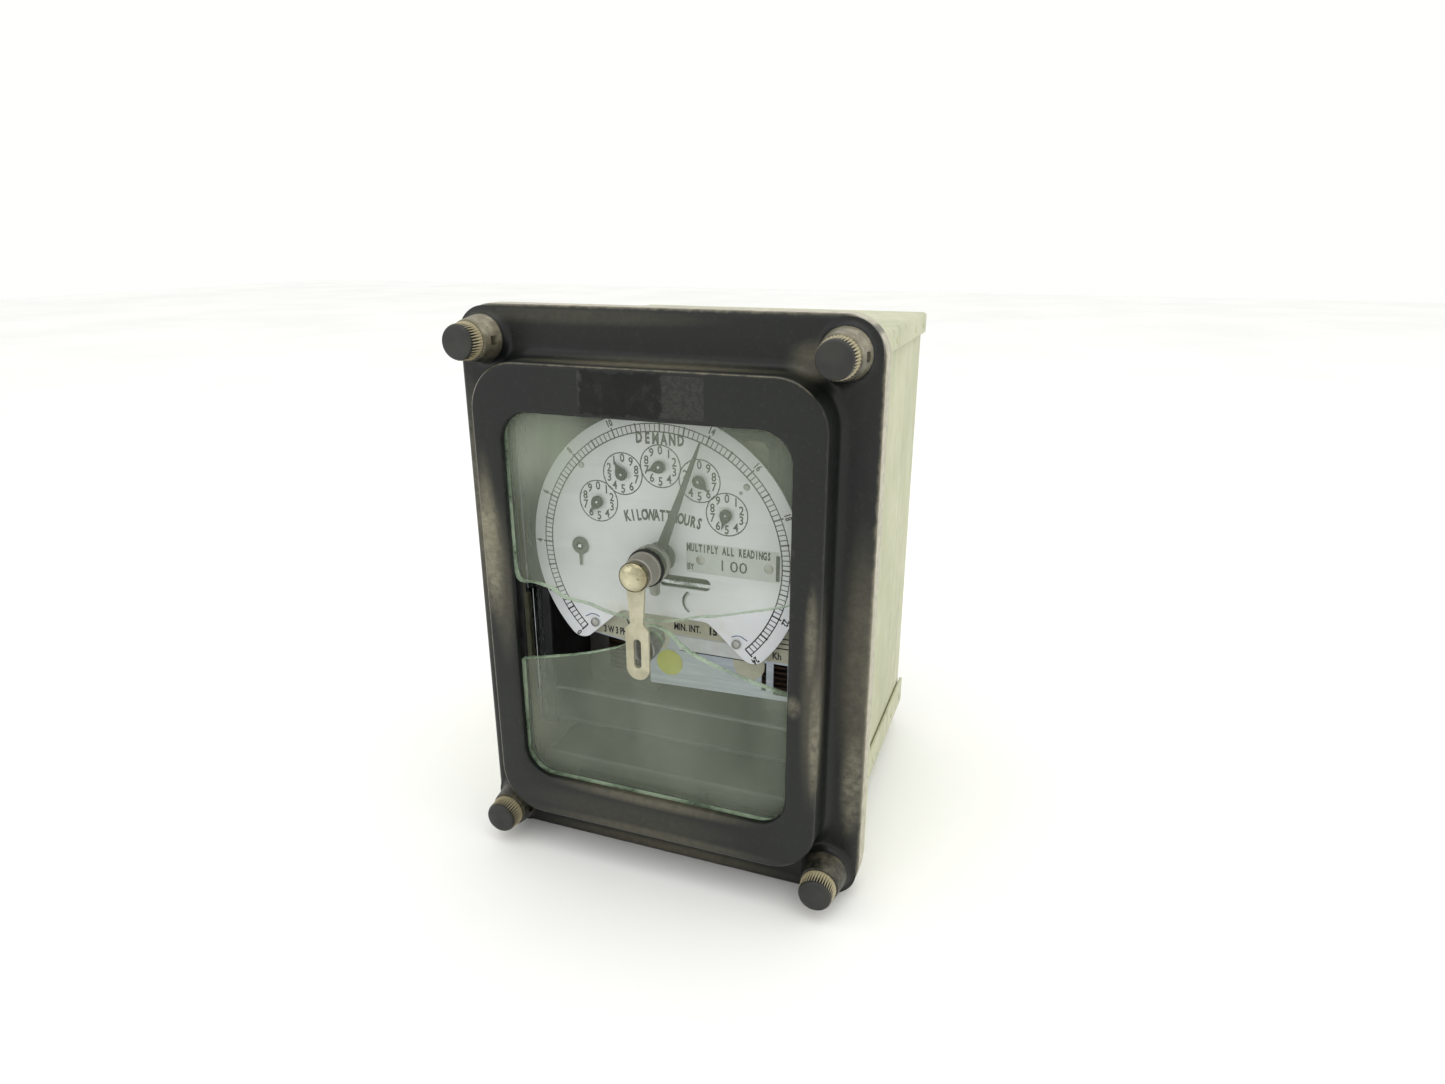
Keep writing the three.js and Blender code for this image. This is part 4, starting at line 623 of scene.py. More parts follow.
# The reset knob's plating: painted shade round the dome's rim, with its centre left light as a painted
# highlight.
NICKEL = metal("warm_nickel", (150, 143, 112), (216, 211, 182), (0.1, 0.22), scale=260, specks=(52, 42, 26),
               rim_shade=(KNOB_PLACE.x - 1, KNOB_PLACE.y0, KNOB_PLACE.z + 1, 8.5, 8, 8.5))
BUSHING = metal("bushing_metal", (148, 145, 136), (176, 173, 164), (0.42, 0.55), metallic=0.6)
STEEL = metal("plated_steel", (128, 128, 124), (178, 178, 172), (0.3, 0.5), specks=(84, 74, 58))
LEVER = metal("lever_nickel", (156, 152, 128), (188, 184, 160), (0.4, 0.55), grain=(1, 1, 0.06), scale=700,
              metallic=0.3)
BRIGHT = metal("bright_strip", (170, 176, 180), (222, 226, 228), (0.18, 0.32), grain=(1, 1, 0.1))
BRASS = metal("dull_brass", (112, 94, 56), (168, 146, 96), (0.3, 0.48), grain=(0.2, 1, 1),
              specks=(92, 74, 44))
TARNISHED = metal("tarnished_brass", (58, 60, 50), (92, 90, 70), (0.4, 0.55), specks=(40, 38, 30),
                  metallic=0.6)
ALUMINIUM = metal("turned_aluminium", (176, 178, 180), (214, 216, 218), (0.2, 0.34), scale=500)
DARK = moulded("dark_frame_paint", (24, 25, 25), (38, 40, 39), (0.4, 0.6))
MAGNET = moulded("magnet_paint", (74, 79, 82), (96, 101, 103), (0.45, 0.65), bump=0.06)
PHENOLIC = moulded("black_phenolic", (20, 19, 17), (36, 34, 30), (0.28, 0.42), scale=90)
RUBBER = moulded("gasket_rubber", (22, 22, 20), (36, 35, 31), (0.7, 0.9), scale=200, bump=0.05)
WHITE = enamel()
INK = ink()
PALE_INK = ink("pale_ink", (86, 98, 130), (110, 122, 150))
POINTER = moulded("pointer_black", (16, 17, 17), (28, 29, 29), (0.45, 0.6), scale=400)
TIMER = moulded("timer_grey", (58, 62, 60), (84, 88, 84), (0.45, 0.6), scale=500)
LABEL = moulded("paper_label", (182, 186, 184), (194, 198, 195), (0.6, 0.75), scale=200)
OLIVE = moulded("olive_print", (158, 158, 138), (172, 172, 152), (0.45, 0.6), scale=160)
STICKER = moulded("yellow_sticker", (160, 166, 52), (180, 184, 70), (0.55, 0.7), scale=150)
PLATE = printed_plate()
GLASS = window_glass()
GLASS_EDGE = glass_edge()
LAMINATED = laminated()
TAPE = wound("coil_tape", (24, 21, 17), (52, 45, 36), 3.0)
COPPER = wound("varnished_copper", (22, 16, 12), (66, 48, 34), 2.6, metallic=0.4, rough=(0.4, 0.55))
CONTACT = metal("contact_copper", (120, 74, 48), (184, 124, 84), (0.25, 0.4), specks=(70, 44, 30))


# ---- Cover ----
COVER = Span("cover_frame")
RAISED_W, RAISED_H, RAISED_R = 139.3, 193.1, 19.0
WINDOW_W, WINDOW_H, WINDOW_R = 115.0, 155.9, 12.0
COVER_R = 15.0
WALL = 2.9
FLANGE_Y = 16.0
RIM_EASE = 2.6            # rounding of the flange's front edge
FACE_EASE = 1.5           # rounding of the raised frame's front edge
ROOT_EASE = 3.6           # hollow rounding where the raised frame meets the flange
WINDOW_EASE = 1.3
BOSS_FRONT_R, BOSS_BASE_R = 8.0, 9.5
THUMB_NUTS = {c: Span("thumb_nut_" + c) for c in ("top_left", "top_right", "bottom_left", "bottom_right")}
BOSS_Y = THUMB_NUTS["top_left"].y0 + 7.3


def cover_ring(w, h, r, y):
    """One loop round the cover, with points every few millimetres."""
    steps = 14
    points = []
    for quarter, (sx, sz) in enumerate([(1, 1), (-1, 1), (-1, -1), (1, -1)]):
        corner = [(sx * (w / 2 - r) + r * math.cos(a), sz * (h / 2 - r) + r * math.sin(a))
                  for a in (math.pi / 2 * (quarter + i / steps) for i in range(steps + 1))]
        points += corner
        nx, nz = [(-1, 1), (-1, -1), (1, -1), (1, 1)][quarter]
        end = (nx * (w / 2 - r), nz * h / 2) if quarter % 2 == 0 else (nx * w / 2, nz * (h / 2 - r))
        start = corner[-1]
        for i in range(1, 24):
            points.append((start[0] + (end[0] - start[0]) * i / 24, start[1] + (end[1] - start[1]) * i / 24))
    return [(x, y, z) for x, z in points]


def grown(w, h, r, d, y):
    return cover_ring(w + 2 * d, h + 2 * d, max(r + d, 0.5), y)


def build_cover():
    w, h = COVER.x1 - COVER.x0, COVER.z1 - COVER.z0
    raised, window, outer = (RAISED_W, RAISED_H, RAISED_R), (WINDOW_W, WINDOW_H, WINDOW_R), (w, h, COVER_R)
    loops = [grown(*window, 0, WALL), grown(*window, 0, WINDOW_EASE)]
    for i in range(1, 5):
        a = math.pi / 2 * i / 4
        loops.append(grown(*window, WINDOW_EASE * (1 - math.cos(a)), WINDOW_EASE * (1 - math.sin(a))))
    inner_d, outer_d = WINDOW_EASE, -FACE_EASE
    for i in range(1, 4):
        t = i / 4
        size = [(a + 2 * inner_d) * (1 - t) + (b + 2 * outer_d) * t for a, b in zip(window[:2], raised[:2])]
        loops.append(cover_ring(size[0], size[1], (WINDOW_R + inner_d) * (1 - t) + (RAISED_R + outer_d) * t,
                                0))
    for i in range(0, 7):
        a = math.pi / 2 * i / 6
        loops.append(grown(*raised, -FACE_EASE + FACE_EASE * math.sin(a), FACE_EASE * (1 - math.cos(a))))
    loops.append(grown(*raised, 0.1, FLANGE_Y * 0.5))
    for i in range(0, 6):
        a = math.pi / 2 * i / 5
        loops.append(grown(*raised, 0.2 + ROOT_EASE * (1 - math.cos(a)),
                           FLANGE_Y - ROOT_EASE * (1 - math.sin(a))))
    root = 0.2 + ROOT_EASE
    for i in range(1, 4):
        t = i / 4
        size = [(a + 2 * root) * (1 - t) + (b - 2 * RIM_EASE) * t for a, b in zip(raised[:2], outer[:2])]
        loops.append(cover_ring(size[0], size[1], (RAISED_R + root) * (1 - t) + (COVER_R - RIM_EASE) * t,
                                FLANGE_Y))
    for i in range(0, 6):
        a = math.pi / 2 * i / 5
        loops.append(grown(*outer, -RIM_EASE + RIM_EASE * math.sin(a),
                           FLANGE_Y + RIM_EASE * (1 - math.cos(a))))
    loops += [grown(*outer, 0, COVER.y1 - 4), grown(*outer, 0, COVER.y1 - 0.5), grown(*outer, -0.5, COVER.y1)]
    loops += [grown(*outer, -WALL, COVER.y1), grown(*outer, -WALL, FLANGE_Y + WALL)]
    loops += [grown(*raised, -WALL, FLANGE_Y + WALL), grown(*raised, -WALL, WALL)]
    shape = Shape()
    shape.loft(loops, wrap=True)
    obj = solid("cover_shell", shape, join=False)

    bosses, bores, slots = Shape(), Shape(), Shape()
    neck_r = 5.4
    neck_end = BOSS_Y + 5.6
    bore_r = 2.9
    slot_half, slot_length = 1.7, 13
    for name, nut in THUMB_NUTS.items():
        x, z = nut.x, nut.z
        flare = [(BOSS_BASE_R - 0.3 + 3.0 * (1 - math.cos(math.pi / 2 * i / 5)),
                  FLANGE_Y + 0.02 - 3.0 * (1 - math.sin(math.pi / 2 * i / 5))) for i in range(6)]
        profile = [(0, BOSS_Y), (BOSS_FRONT_R - 0.8, BOSS_Y), (BOSS_FRONT_R - 0.2, BOSS_Y + 0.25),
                   (BOSS_FRONT_R, BOSS_Y + 0.8)] + flare + [(flare[-1][0], FLANGE_Y + 1.5),
                                                            (BOSS_BASE_R, FLANGE_Y + 2),
                                                           (BOSS_BASE_R, COVER.y1 - 0.3), (0, COVER.y1 - 0.3)]
        bosses.lathe(profile, x, z, 48)
        bores.lathe([(0, BOSS_Y - 1), (neck_r, BOSS_Y - 1), (neck_r, neck_end), (bore_r, neck_end),
                     (bore_r, COVER.y1 + 1), (0, COVER.y1 + 1)], x, z, 32)
        turn = -math.pi / 6 if name == "bottom_right" else 0.0
        ends = [(0, -slot_half), (slot_length, -slot_half), (slot_length, slot_half), (0, slot_half)]
        loop = [(x + a * math.cos(turn) - b * math.sin(turn),
                 z + a * math.sin(turn) + b * math.cos(turn)) for a, b in ends]
        slots.loft([[(px, neck_end - 2.4, pz) for px, pz in loop],
                    [(px, neck_end + 0.8, pz) for px, pz in loop]], caps=True)
    boolean(obj, bosses, "UNION")
    boolean(obj, bores, "DIFFERENCE")
    boolean(obj, slots, "DIFFERENCE")
    obj.name = "cover_frame_enamelled"
    dress(obj, "cover", PAINT, ["cover_frame"], angle=28, wear=cover_wear)


def rounded_distance(x, z, w, h, r):
    """How far a point is outside a rounded rectangle; negative inside."""
    dx, dz = abs(x) - (w / 2 - r), abs(z) - (h / 2 - r)
    return math.hypot(max(dx, 0), max(dz, 0)) + min(max(dx, dz), 0) - r


def near(value, target, reach):
    return max(0.0, 1 - abs(value - target) / reach)


def cover_wear(x, y, z):
    """How rubbed the cover is at a point: most on the rim's back edge, then on the raised edges. On the nut
    bosses it is a painted highlight instead, strongest on their upper right sides and on the top bosses.
    """
    rim = rounded_distance(x, z, COVER.x1 - COVER.x0, COVER.z1 - COVER.z0, COVER_R)
    raised = rounded_distance(x, z, RAISED_W, RAISED_H, RAISED_R)
    amount = 0.0
    if rim > -RIM_EASE - 0.4 and y > FLANGE_Y - 0.1:
        front = min(1.0, max(0.0, (y - FLANGE_Y) / RIM_EASE))
        amount = (0.8 if z > 112 or x > 81 else 0.4) * front
    elif -FACE_EASE - 0.2 < raised < 1 and y < FACE_EASE + 0.2:
        side = 0.72 if x < -64 else 0.2 if x > 64 else 0.5 if z > 0 else 0.3
        amount = side * near(y, 0.5, 0.5)
    elif rounded_distance(x, z, WINDOW_W, WINDOW_H, WINDOW_R) < WINDOW_EASE + 0.2 and y < WINDOW_EASE + 0.2:
        amount = 0.1
    for nut in THUMB_NUTS.values():
        reach = math.hypot(x - nut.x, z - nut.z)
        if y < FLANGE_Y - 2.6 and reach < BOSS_BASE_R + 0.6:
            # Painted highlight: each boss is made lighter on its upper right side, toward the lamps, and more
            # so on the top two bosses.
            lit = 0.5 + 0.5 * (0.8 * (z - nut.z) + 0.6 * (x - nut.x)) / max(reach, 1)
            amount = max(amount, (0.12 + 0.42 * lit) * (1.15 if nut.z > 0 else 0.6))
    return amount


KNURLS = 38


def build_thumb_nuts():
    for corner, span in THUMB_NUTS.items():
        y0, back = span.y0, BOSS_Y - 0.3
        sides = KNURLS * 6

        def ring(r, depth, y):
            points = []
            for i in range(sides):
                ridge = abs((i % 6) / 3 - 1)
                radius = r - depth * (1 - ridge ** 0.8)
                angle = 2 * math.pi * i / sides
                points.append((span.x + radius * math.cos(angle), y, span.z + radius * math.sin(angle)))
            return points

        shape = Shape()
        loops = [ring(0.01, 0, y0 + 0.06), ring(3, 0, y0 + 0.03), ring(5.6, 0, y0), ring(6.0, 0, y0 + 0.08),
                 ring(6.35, 0, y0 + 0.45), ring(6.55, 0.1, y0 + 0.8), ring(6.8, 0.5, y0 + 1.3),
                 ring(6.95, 0.6, y0 + 3.2), ring(7.2, 0.6, y0 + 5.4), ring(7.38, 0.5, back - 0.5),
                 ring(7.1, 0.1, back),
                 ring(5.2, 0, back), ring(5.0, 0, back + 0.2), ring(5.0, 0, span.y1), ring(2.7, 0, span.y1),
                 ring(2.7, 0, y0 + 2.4), ring(0.01, 0, y0 + 2.4)]
        shape.loft(loops, caps=True)

        def wear(x, y, z):
            reach = math.hypot(x - span.x, z - span.z)
            if y < y0 + 0.5:
                return 0.05 + 0.25 * near(reach, 6.2, 0.4)
            return max(0.0, min(1.0, (reach - 6.5) / 0.45)) if y < back + 0.1 else 0.1

        piece(f"thumb_nut_{corner}_knurled", shape, "nut_" + corner, KNOB, ["thumb_nut_" + corner],
              angle=40, wear=wear)


# ---- Window glass ----
UPPER, LOWER = Span("glass_upper"), Span("glass_lower")
UPPER_CRACK = [(-59.3, 26), (-58.1, 9.4), (-50, 8.2), (-42.5, 6.5), (-37.5, 3.6), (-26, 2.2), (-17, -0.2),
               (-6, -1.2),
               (8, 0), (20.7, 3.7), (27, 4.8), (37, 7.6), (50, 11.3), (59.3, 14.5)]
LOWER_CRACK = [(59.3, -23), (46.5, -20.4), (33.4, -17.2), (21.8, -13.6), (13.8, -9.6), (8, -4.6), (1, -2.6),
               (-7, -5.6),
               (-10, -12), (-20.5, -16.7), (-34.5, -21.1), (-52, -25.2), (-58.7, -26.6)]


def spline(points, parts=6):
    """A smooth open curve through the points."""
    out = []
    for i in range(len(points) - 1):
        p0, p1, p2, p3 = points[max(i - 1, 0)], points[i], points[i + 1], points[min(i + 2, len(points) - 1)]
        for k in range(parts):
            t = k / parts
            out.append(tuple(0.5 * (2 * b + (c - a) * t + (2 * a - 5 * b + 4 * c - d) * t * t
                                    + (3 * b - a - 3 * c + d) * t ** 3) for a, b, c,
                                    d in zip(p0, p1, p2, p3)))
    return out + [points[-1]]


def build_glass():
    r = WINDOW_R
    upper = arc(UPPER.x1 - r, UPPER.z1 - r, r, 0, 90, 10) + arc(UPPER.x0 + r, UPPER.z1 - r, r, 90, 180, 10)
    upper += spline(UPPER_CRACK, 5)
    lower = arc(LOWER.x0 + r, LOWER.z0 + r, r, 180, 270, 10) + arc(LOWER.x1 - r, LOWER.z0 + r, r, 270, 360,
                                                                   10)
    lower += spline(LOWER_CRACK, 5)
    post = Span("seal_post")
    for name, outline, span, hole in (
        ("glass_upper", upper, UPPER, circle(RESET_X, RESET_Z, 5.1)),
        ("glass_lower", lower, LOWER, circle(post.x, post.z, 4.7)),
    ):
        shape = Shape()
        shape.plate([outline, hole], span.y0, span.y1, 0.28, 0, 1)
        piece(name + "_pane", shape, "cover", [GLASS, GLASS_EDGE], [name])


# ---- Reset mechanism ----
RESET = Span("reset_shaft")
RESET_X, RESET_Z = RESET.x, RESET.z


def build_reset():
    knob = Span("reset_knob")
    r = (knob.x1 - knob.x0) / 2
    rise = knob.y1 - knob.y0 - 0.8
    bends = [math.pi / 2 * i / 10 for i in range(11)]
    dome = [(r * math.sin(a), knob.y0 + rise * (1 - math.cos(a))) for a in bends]
    dome += [(r, knob.y1 - 0.15), (r - 0.15, knob.y1), (2.5, knob.y1), (2.5, knob.y1 - 2.1),
             (0, knob.y1 - 2.1)]
    shape = Shape()
    shape.lathe(dome, RESET_X, RESET_Z, 48)
    piece("reset_knob_plated", shape, "reset", NICKEL, ["reset_knob"])

    bush = Span("reset_bushing")
    shoulder = bush.y0 + 7
    shape = Shape()
    shape.lathe([(2.6, bush.y0 + 0.1), (2.8, bush.y0), (5.7, bush.y0), (6.05, bush.y0 + 0.35),
                 (6.6, shoulder - 1.2),
                 (6.8, shoulder - 1.1), (6.8, shoulder), (4.8, shoulder), (4.8, bush.y1 - 0.3),
                 (4.5, bush.y1), (2.6, bush.y1)],
                RESET_X, RESET_Z, 48, wrap=True)
    piece("reset_bushing_turned", shape, "cover", BUSHING, ["reset_bushing"])

    lever = Span("reset_lever")
    arm, pad = 2.7, (lever.x1 - lever.x0) / 2
    pad_top = lever.z0 + 21
    top_r = arm + 1.6
    outline = arc(RESET_X, RESET_Z, top_r, -22.9, 202.9, 20)
    outline += [(-arm, pad_top + 2.6), (-arm - 0.25, pad_top + 1.9), (-pad + 0.4, pad_top + 0.15),
                (-pad, pad_top - 0.5)]
    outline += arc(RESET_X, lever.z0 + pad, pad, 180, 360, 18)
    outline += [(pad, pad_top - 0.5), (pad - 0.4, pad_top + 0.15), (arm + 0.25, pad_top + 1.9),
                (arm, pad_top + 2.6)]
    slot = rounded(3, 12, 1.45, 0, lever.z0 + pad + 6, 6)
    shape = Shape()
    shape.plate([outline, slot, circle(RESET_X, RESET_Z, 2.5, 24)], lever.y0, lever.y1, 0.22)
    piece("reset_lever_plated", shape, "reset", LEVER, ["reset_lever"])

    post = Span("seal_post")
    shape = Shape()
    r = (post.x1 - post.x0) / 2
    neck = r - 1
    neck_y = UPPER.y0 - 0.3
    shape.lathe([(0, post.y0), (r - 0.7, post.y0), (r - 0.2, post.y0 + 0.2), (r, post.y0 + 0.7),
                 (r, neck_y), (neck, neck_y),
                 (neck, post.y1 - 0.3), (neck - 0.3, post.y1), (0, post.y1)], post.x, post.z, 40)
    cutter = Shape()
    cutter.box(post.x - 0.6, post.x + 0.6, post.y0 - 2, post.y0 + 1.4, post.z - 9, post.z + 9)
    obj = piece("seal_post_turned", shape, "cover", STEEL, ["seal_post"])
    boolean(obj, cutter, "DIFFERENCE")
    smooth(obj.data)


# ---- Dial ----
DIAL = Span("dial_plate")
DIAL_R = (DIAL.x1 - DIAL.x0) / 2
LOBE_R, LOBE_ANGLE, WAIST_Z, FLANK = 6.2, 42.5, -4.3, 42.0
ARBORS = [Span(f"register_pointer_{i}") for i in range(1, 6)]
ARBOR_PLACES = [(-27, 41), (-16, 53), (0, 57.3), (16, 53), (27, 41)]
ARBOR_REST = [214, 330, 250, 132, 196]
INTERVAL_X, INTERVAL_Z = -36.0, 21.5
SCALE_IN, SCALE_OUT, NUMBER_R = 49.1, 52.2, 54.9
SCALE_ZERO, SCALE_SPAN, SCALE_FULL = 225.0, 270.0, 24


def polar(r, degrees, x=0.0, z=None):
    a = math.radians(degrees)
    return x + r * math.cos(a), (RESET_Z if z is None else z) + r * math.sin(a)


def dial_outline():
    lobe = math.radians(LOBE_ANGLE)
    lx = (DIAL_R - LOBE_R) * math.cos(lobe)
    lz = RESET_Z - (DIAL_R - LOBE_R) * math.sin(lobe)
    flank = math.radians(FLANK)
    tx, tz = lx - LOBE_R * math.sin(flank), lz - LOBE_R * math.cos(flank)
    waist = tx - (WAIST_Z - tz) / math.tan(flank)
    knee = [(waist + 1.5, WAIST_Z - 1.3), (waist + 0.4, WAIST_Z - 0.5), (waist - 0.9, WAIST_Z - 0.12),
            (waist - 2.5, WAIST_Z)]
    points = arc(0, RESET_Z, DIAL_R, -LOBE_ANGLE, 180 + LOBE_ANGLE, 120)
    points += arc(-lx, lz, LOBE_R, 180 + LOBE_ANGLE, 270 + FLANK, 16)[1:]
    points += [(-x, z) for x, z in knee] + knee[::-1]
    points += arc(lx, lz, LOBE_R, 270 - FLANK, 360 - LOBE_ANGLE, 16)[:-1]
    return points


REGISTER_R = 8.3


def spaced(shape, text, height, x, z, y, span, radius, squeeze, weight):
    """Lettering with its letters spread over a span, on an arch of the given radius (0 is straight)."""
    for i, letter in enumerate(text):
        along = span * (i / (len(text) - 1) - 0.5)
        drop, turn = (radius - math.sqrt(radius ** 2 - along ** 2), -along / radius) if radius else (0.0, 0.0)
        if letter != " ":
            shape.letters(letter, height, x + along, z - drop, y, turn, squeeze, weight)


def build_dial():
    y = DIAL.y0
    holes = [rounded(22, 5, 2.3, 9.2, 11.3, 6), circle(RESET_X, RESET_Z, 2.2, 24)]
    holes += [circle(x, z, 1.6, 16) for x, z in ARBOR_PLACES + [(INTERVAL_X, INTERVAL_Z)]]
    crescent = arc(13.4, 3.2, 5.4, 122, 238, 14) + arc(14.6, 3.2, 4.8, 230, 130, 12)
    holes.append(crescent)
    shape = Shape()
    shape.plate([dial_outline()] + holes, DIAL.y0, DIAL.y1, 0.12)
    piece("dial_plate_enamelled", shape, "cradle", WHITE, ["dial_plate"])

    tab = Shape()
    tab.plate([[(x + 0.7, z - 0.3) for x, z in crescent]], DIAL.y1 + 0.1, DIAL.y1 + 0.3, 0)
    piece("dial_tab", tab, "cradle", LABEL)

    print_shape = Shape()
    for r, width in ((SCALE_IN, 0.5), (SCALE_OUT, 0.42)):
        print_shape.stroke(arc(0, RESET_Z, r, SCALE_ZERO, SCALE_ZERO - SCALE_SPAN, 160), width, y)
    for tick in range(SCALE_FULL * 5 + 1):
        angle = SCALE_ZERO - SCALE_SPAN * tick / (SCALE_FULL * 5)
        whole = tick % 5 == 0
        out = SCALE_OUT + (1.0 if tick % 10 == 0 else 0.5) if whole else SCALE_OUT
        print_shape.stroke([polar(SCALE_IN, angle), polar(out, angle)], 0.6 if whole else 0.36, y)
    for number in range(0, SCALE_FULL + 1, 2):
        angle = SCALE_ZERO - SCALE_SPAN * number / SCALE_FULL
        x, z = polar(NUMBER_R, angle)
        print_shape.letters(str(number), 2.6, x, z, y, math.radians(angle - 90), 0.74, 0.05)
    spaced(print_shape, "DEMAND", 4.2, 0, 67.7, y, 17.2, 0, 0.62, 0.07)
    for (x, z), clockwise in zip(ARBOR_PLACES, (True, False, True, False, True)):
        print_shape.stroke(circle(x, z, REGISTER_R, 64), 0.45, y, closed=True)
        for digit in range(10):
            angle = 90 - (36 * digit if clockwise else -36 * digit)
            dx, dz = polar(6.1, angle, x, z)
            print_shape.letters(str(digit), 3.35, dx, dz, y, 0, 0.84, 0.03)
            print_shape.stroke([polar(7.75, angle, x, z), polar(REGISTER_R, angle, x, z)], 0.3, y)
    spaced(print_shape, "KILOWATTHOURS", 4.3, 0.5, 37.6, y, 30.4, 71, 0.58, 0.06)
    spaced(print_shape, "MULTIPLY ALL READINGS", 3.0, 27.6, 26.2, y - 0.12, 32.6, 0, 0.52, 0.06)
    print_shape.letters("BY", 2.5, 12, 18.4, y - 0.12, 0, 0.7, 0.04)
    print_shape.letters("1", 4.5, 25.2, 20.2, y - 0.12, 0, 1.0, 0.0)
    print_shape.letters("00", 4.5, 31.8, 20.2, y - 0.12, 0, 1.15, 0.0)
    print_shape.plate([[(46.8, 17), (48.1, 17), (48.1, 27), (46.8, 27)]], y - 0.5, y - 0.05)
    piece("dial_print", print_shape, "cradle", INK)

    label = Shape()
    label.plate([rounded(37.6, 12.2, 0.3, 29, 22.3, 2)], y - 0.1, y - 0.02, 0)
    piece("multiplier_label", label, "cradle", LABEL)

    screws = Shape()
    lines = Shape()
    for side, name in ((-1, "dial_screw_left"), (1, "dial_screw_right")):
        span = Span(name)
        r = (span.x1 - span.x0) / 2
        screws.lathe([(0, span.y0), (r * 0.6, span.y0 + 0.1), (r * 0.95, span.y0 + 0.6), (r, span.y1),
                      (0, span.y1)],
                     span.x, span.z, 28)
        hook = [(span.x + side * 4.6, span.z + 2.0), (span.x + side * 3.4, span.z + 2.6),
                (span.x + side * 2.0, span.z + 3.4), (span.x, span.z + 3.5),
                (span.x - side * 2.0, span.z + 2.7)]
        lines.stroke(spline(hook, 5), 0.45, y)
    for x, z, r in ((34.8, 52.4, 1.3), (32.5, 49.9, 0.7), (16.2, 21.5, 1.9), (43.8, 21.4, 1.9),
                    (-34, 55, 1.3)):
        screws.lathe([(0, y - 0.5), (r * 0.8, y - 0.4), (r, y - 0.1), (r, y - 0.01), (0, y - 0.01)], x, z, 20)
    piece("dial_screws", screws, "cradle", STEEL, ["dial_screw_left", "dial_screw_right"])
    piece("dial_marks", lines, "cradle", PALE_INK)


def gear(shape, x, z, y0, y1, root, tip, teeth):
    """A spur gear about an axis along Y."""
    outline = []
    for i in range(teeth):
        for step, r in ((0, root), (0.3, root), (0.42, tip), (0.68, tip), (0.8, root)):
            a = 2 * math.pi * (i + step) / teeth
            outline.append((x + r * math.cos(a), z + r * math.sin(a)))
    shape.plate([outline], y0, y1, 0.08, 2, 2)


def build_pointers():
    first_gear = Span("register_front_plate").y1 + 2
    for i, ((x, z), rest) in enumerate(zip(ARBOR_PLACES, ARBOR_REST)):
        span = ARBORS[i]
        angle = 90 - rest
        shape = Shape()
        half = [(6.4, 0), (5.2, 3.2), (3.6, 10), (2.9, 30), (2.6, 50), (2.5, 75), (2.5, 105), (2.5, 145)]
        outline = [polar(r, angle + t, x, z) for r, t in half] + [polar(2.5, angle + 180, x, z)]
        outline += [polar(r, angle - t, x, z) for r, t in half[:0:-1]]
        shape.plate([outline], span.y0 + 0.45, span.y0 + 1.0, 0.08)
        shape.lathe([(0, span.y0 + 0.1), (1.5, span.y0 + 0.15), (1.8, span.y0 + 0.5), (0, span.y0 + 0.5)],
                    x, z, 28)
        shape.lathe([(0, span.y0), (0.4, span.y0), (0.5, span.y0 + 0.12), (0, span.y0 + 0.12)], x, z, 16, 1)
        shape.lathe([(0, span.y0 + 0.9), (1.0, span.y0 + 0.9), (1.0, span.y1 - 0.3), (0.7, span.y1),
                     (0, span.y1)], x, z, 20, 2)
        plane = 2 if i == 4 else i % 2
        gear(shape, x, z, first_gear + plane * 3, first_gear + plane * 3 + 1.2, 13.1, 14.0, 60)
        shape.lathe([(0.9, first_gear + plane * 3 - 0.5), (2.4, first_gear + plane * 3 - 0.5),
                     (2.4, first_gear + plane * 3),
                     (0.9, first_gear + plane * 3)], x, z, 24, 2, wrap=True)
        if i:
            pinion = first_gear + (i - 1) % 2 * 3
            gear(shape, x, z, pinion - 0.2, pinion + 1.4, 1.2, 1.85, 10)
        piece(f"register_pointer_{i + 1}_train", shape, f"arbor_{i + 1}", [POINTER, BRIGHT, BRASS],
              [f"register_pointer_{i + 1}"])


def build_interval_pointer():
    span = Span("interval_pointer")
    shape = Shape()
    shape.lathe([(0, span.y0 + 0.25), (2.9, span.y0 + 0.25), (3.4, span.y0 + 0.4), (3.65, span.y0 + 0.7),
                 (3.65, span.y0 + 1.0),
                 (0, span.y0 + 1.0)], INTERVAL_X, INTERVAL_Z, 40)
    shape.lathe([(0, span.y0), (0.7, span.y0), (0.9, span.y0 + 0.25), (0, span.y0 + 0.25)], INTERVAL_X,
                INTERVAL_Z, 16, 1)
    x, z = INTERVAL_X, INTERVAL_Z
    tail = [(x - 0.45, z - 8.2), (x, z - 8.55), (x + 0.45, z - 8.2), (x + 0.6, z - 3), (x - 0.6, z - 3)]
    shape.plate([tail], span.y0 + 0.5, span.y0 + 0.8, 0.06)
    shape.lathe([(0, span.y0 + 0.9), (1.1, span.y0 + 0.9), (1.1, span.y1), (0, span.y1)], INTERVAL_X,
                INTERVAL_Z, 20, 2)
    piece("interval_pointer_disc", shape, "interval", [TIMER, BRIGHT, STEEL], ["interval_pointer"])


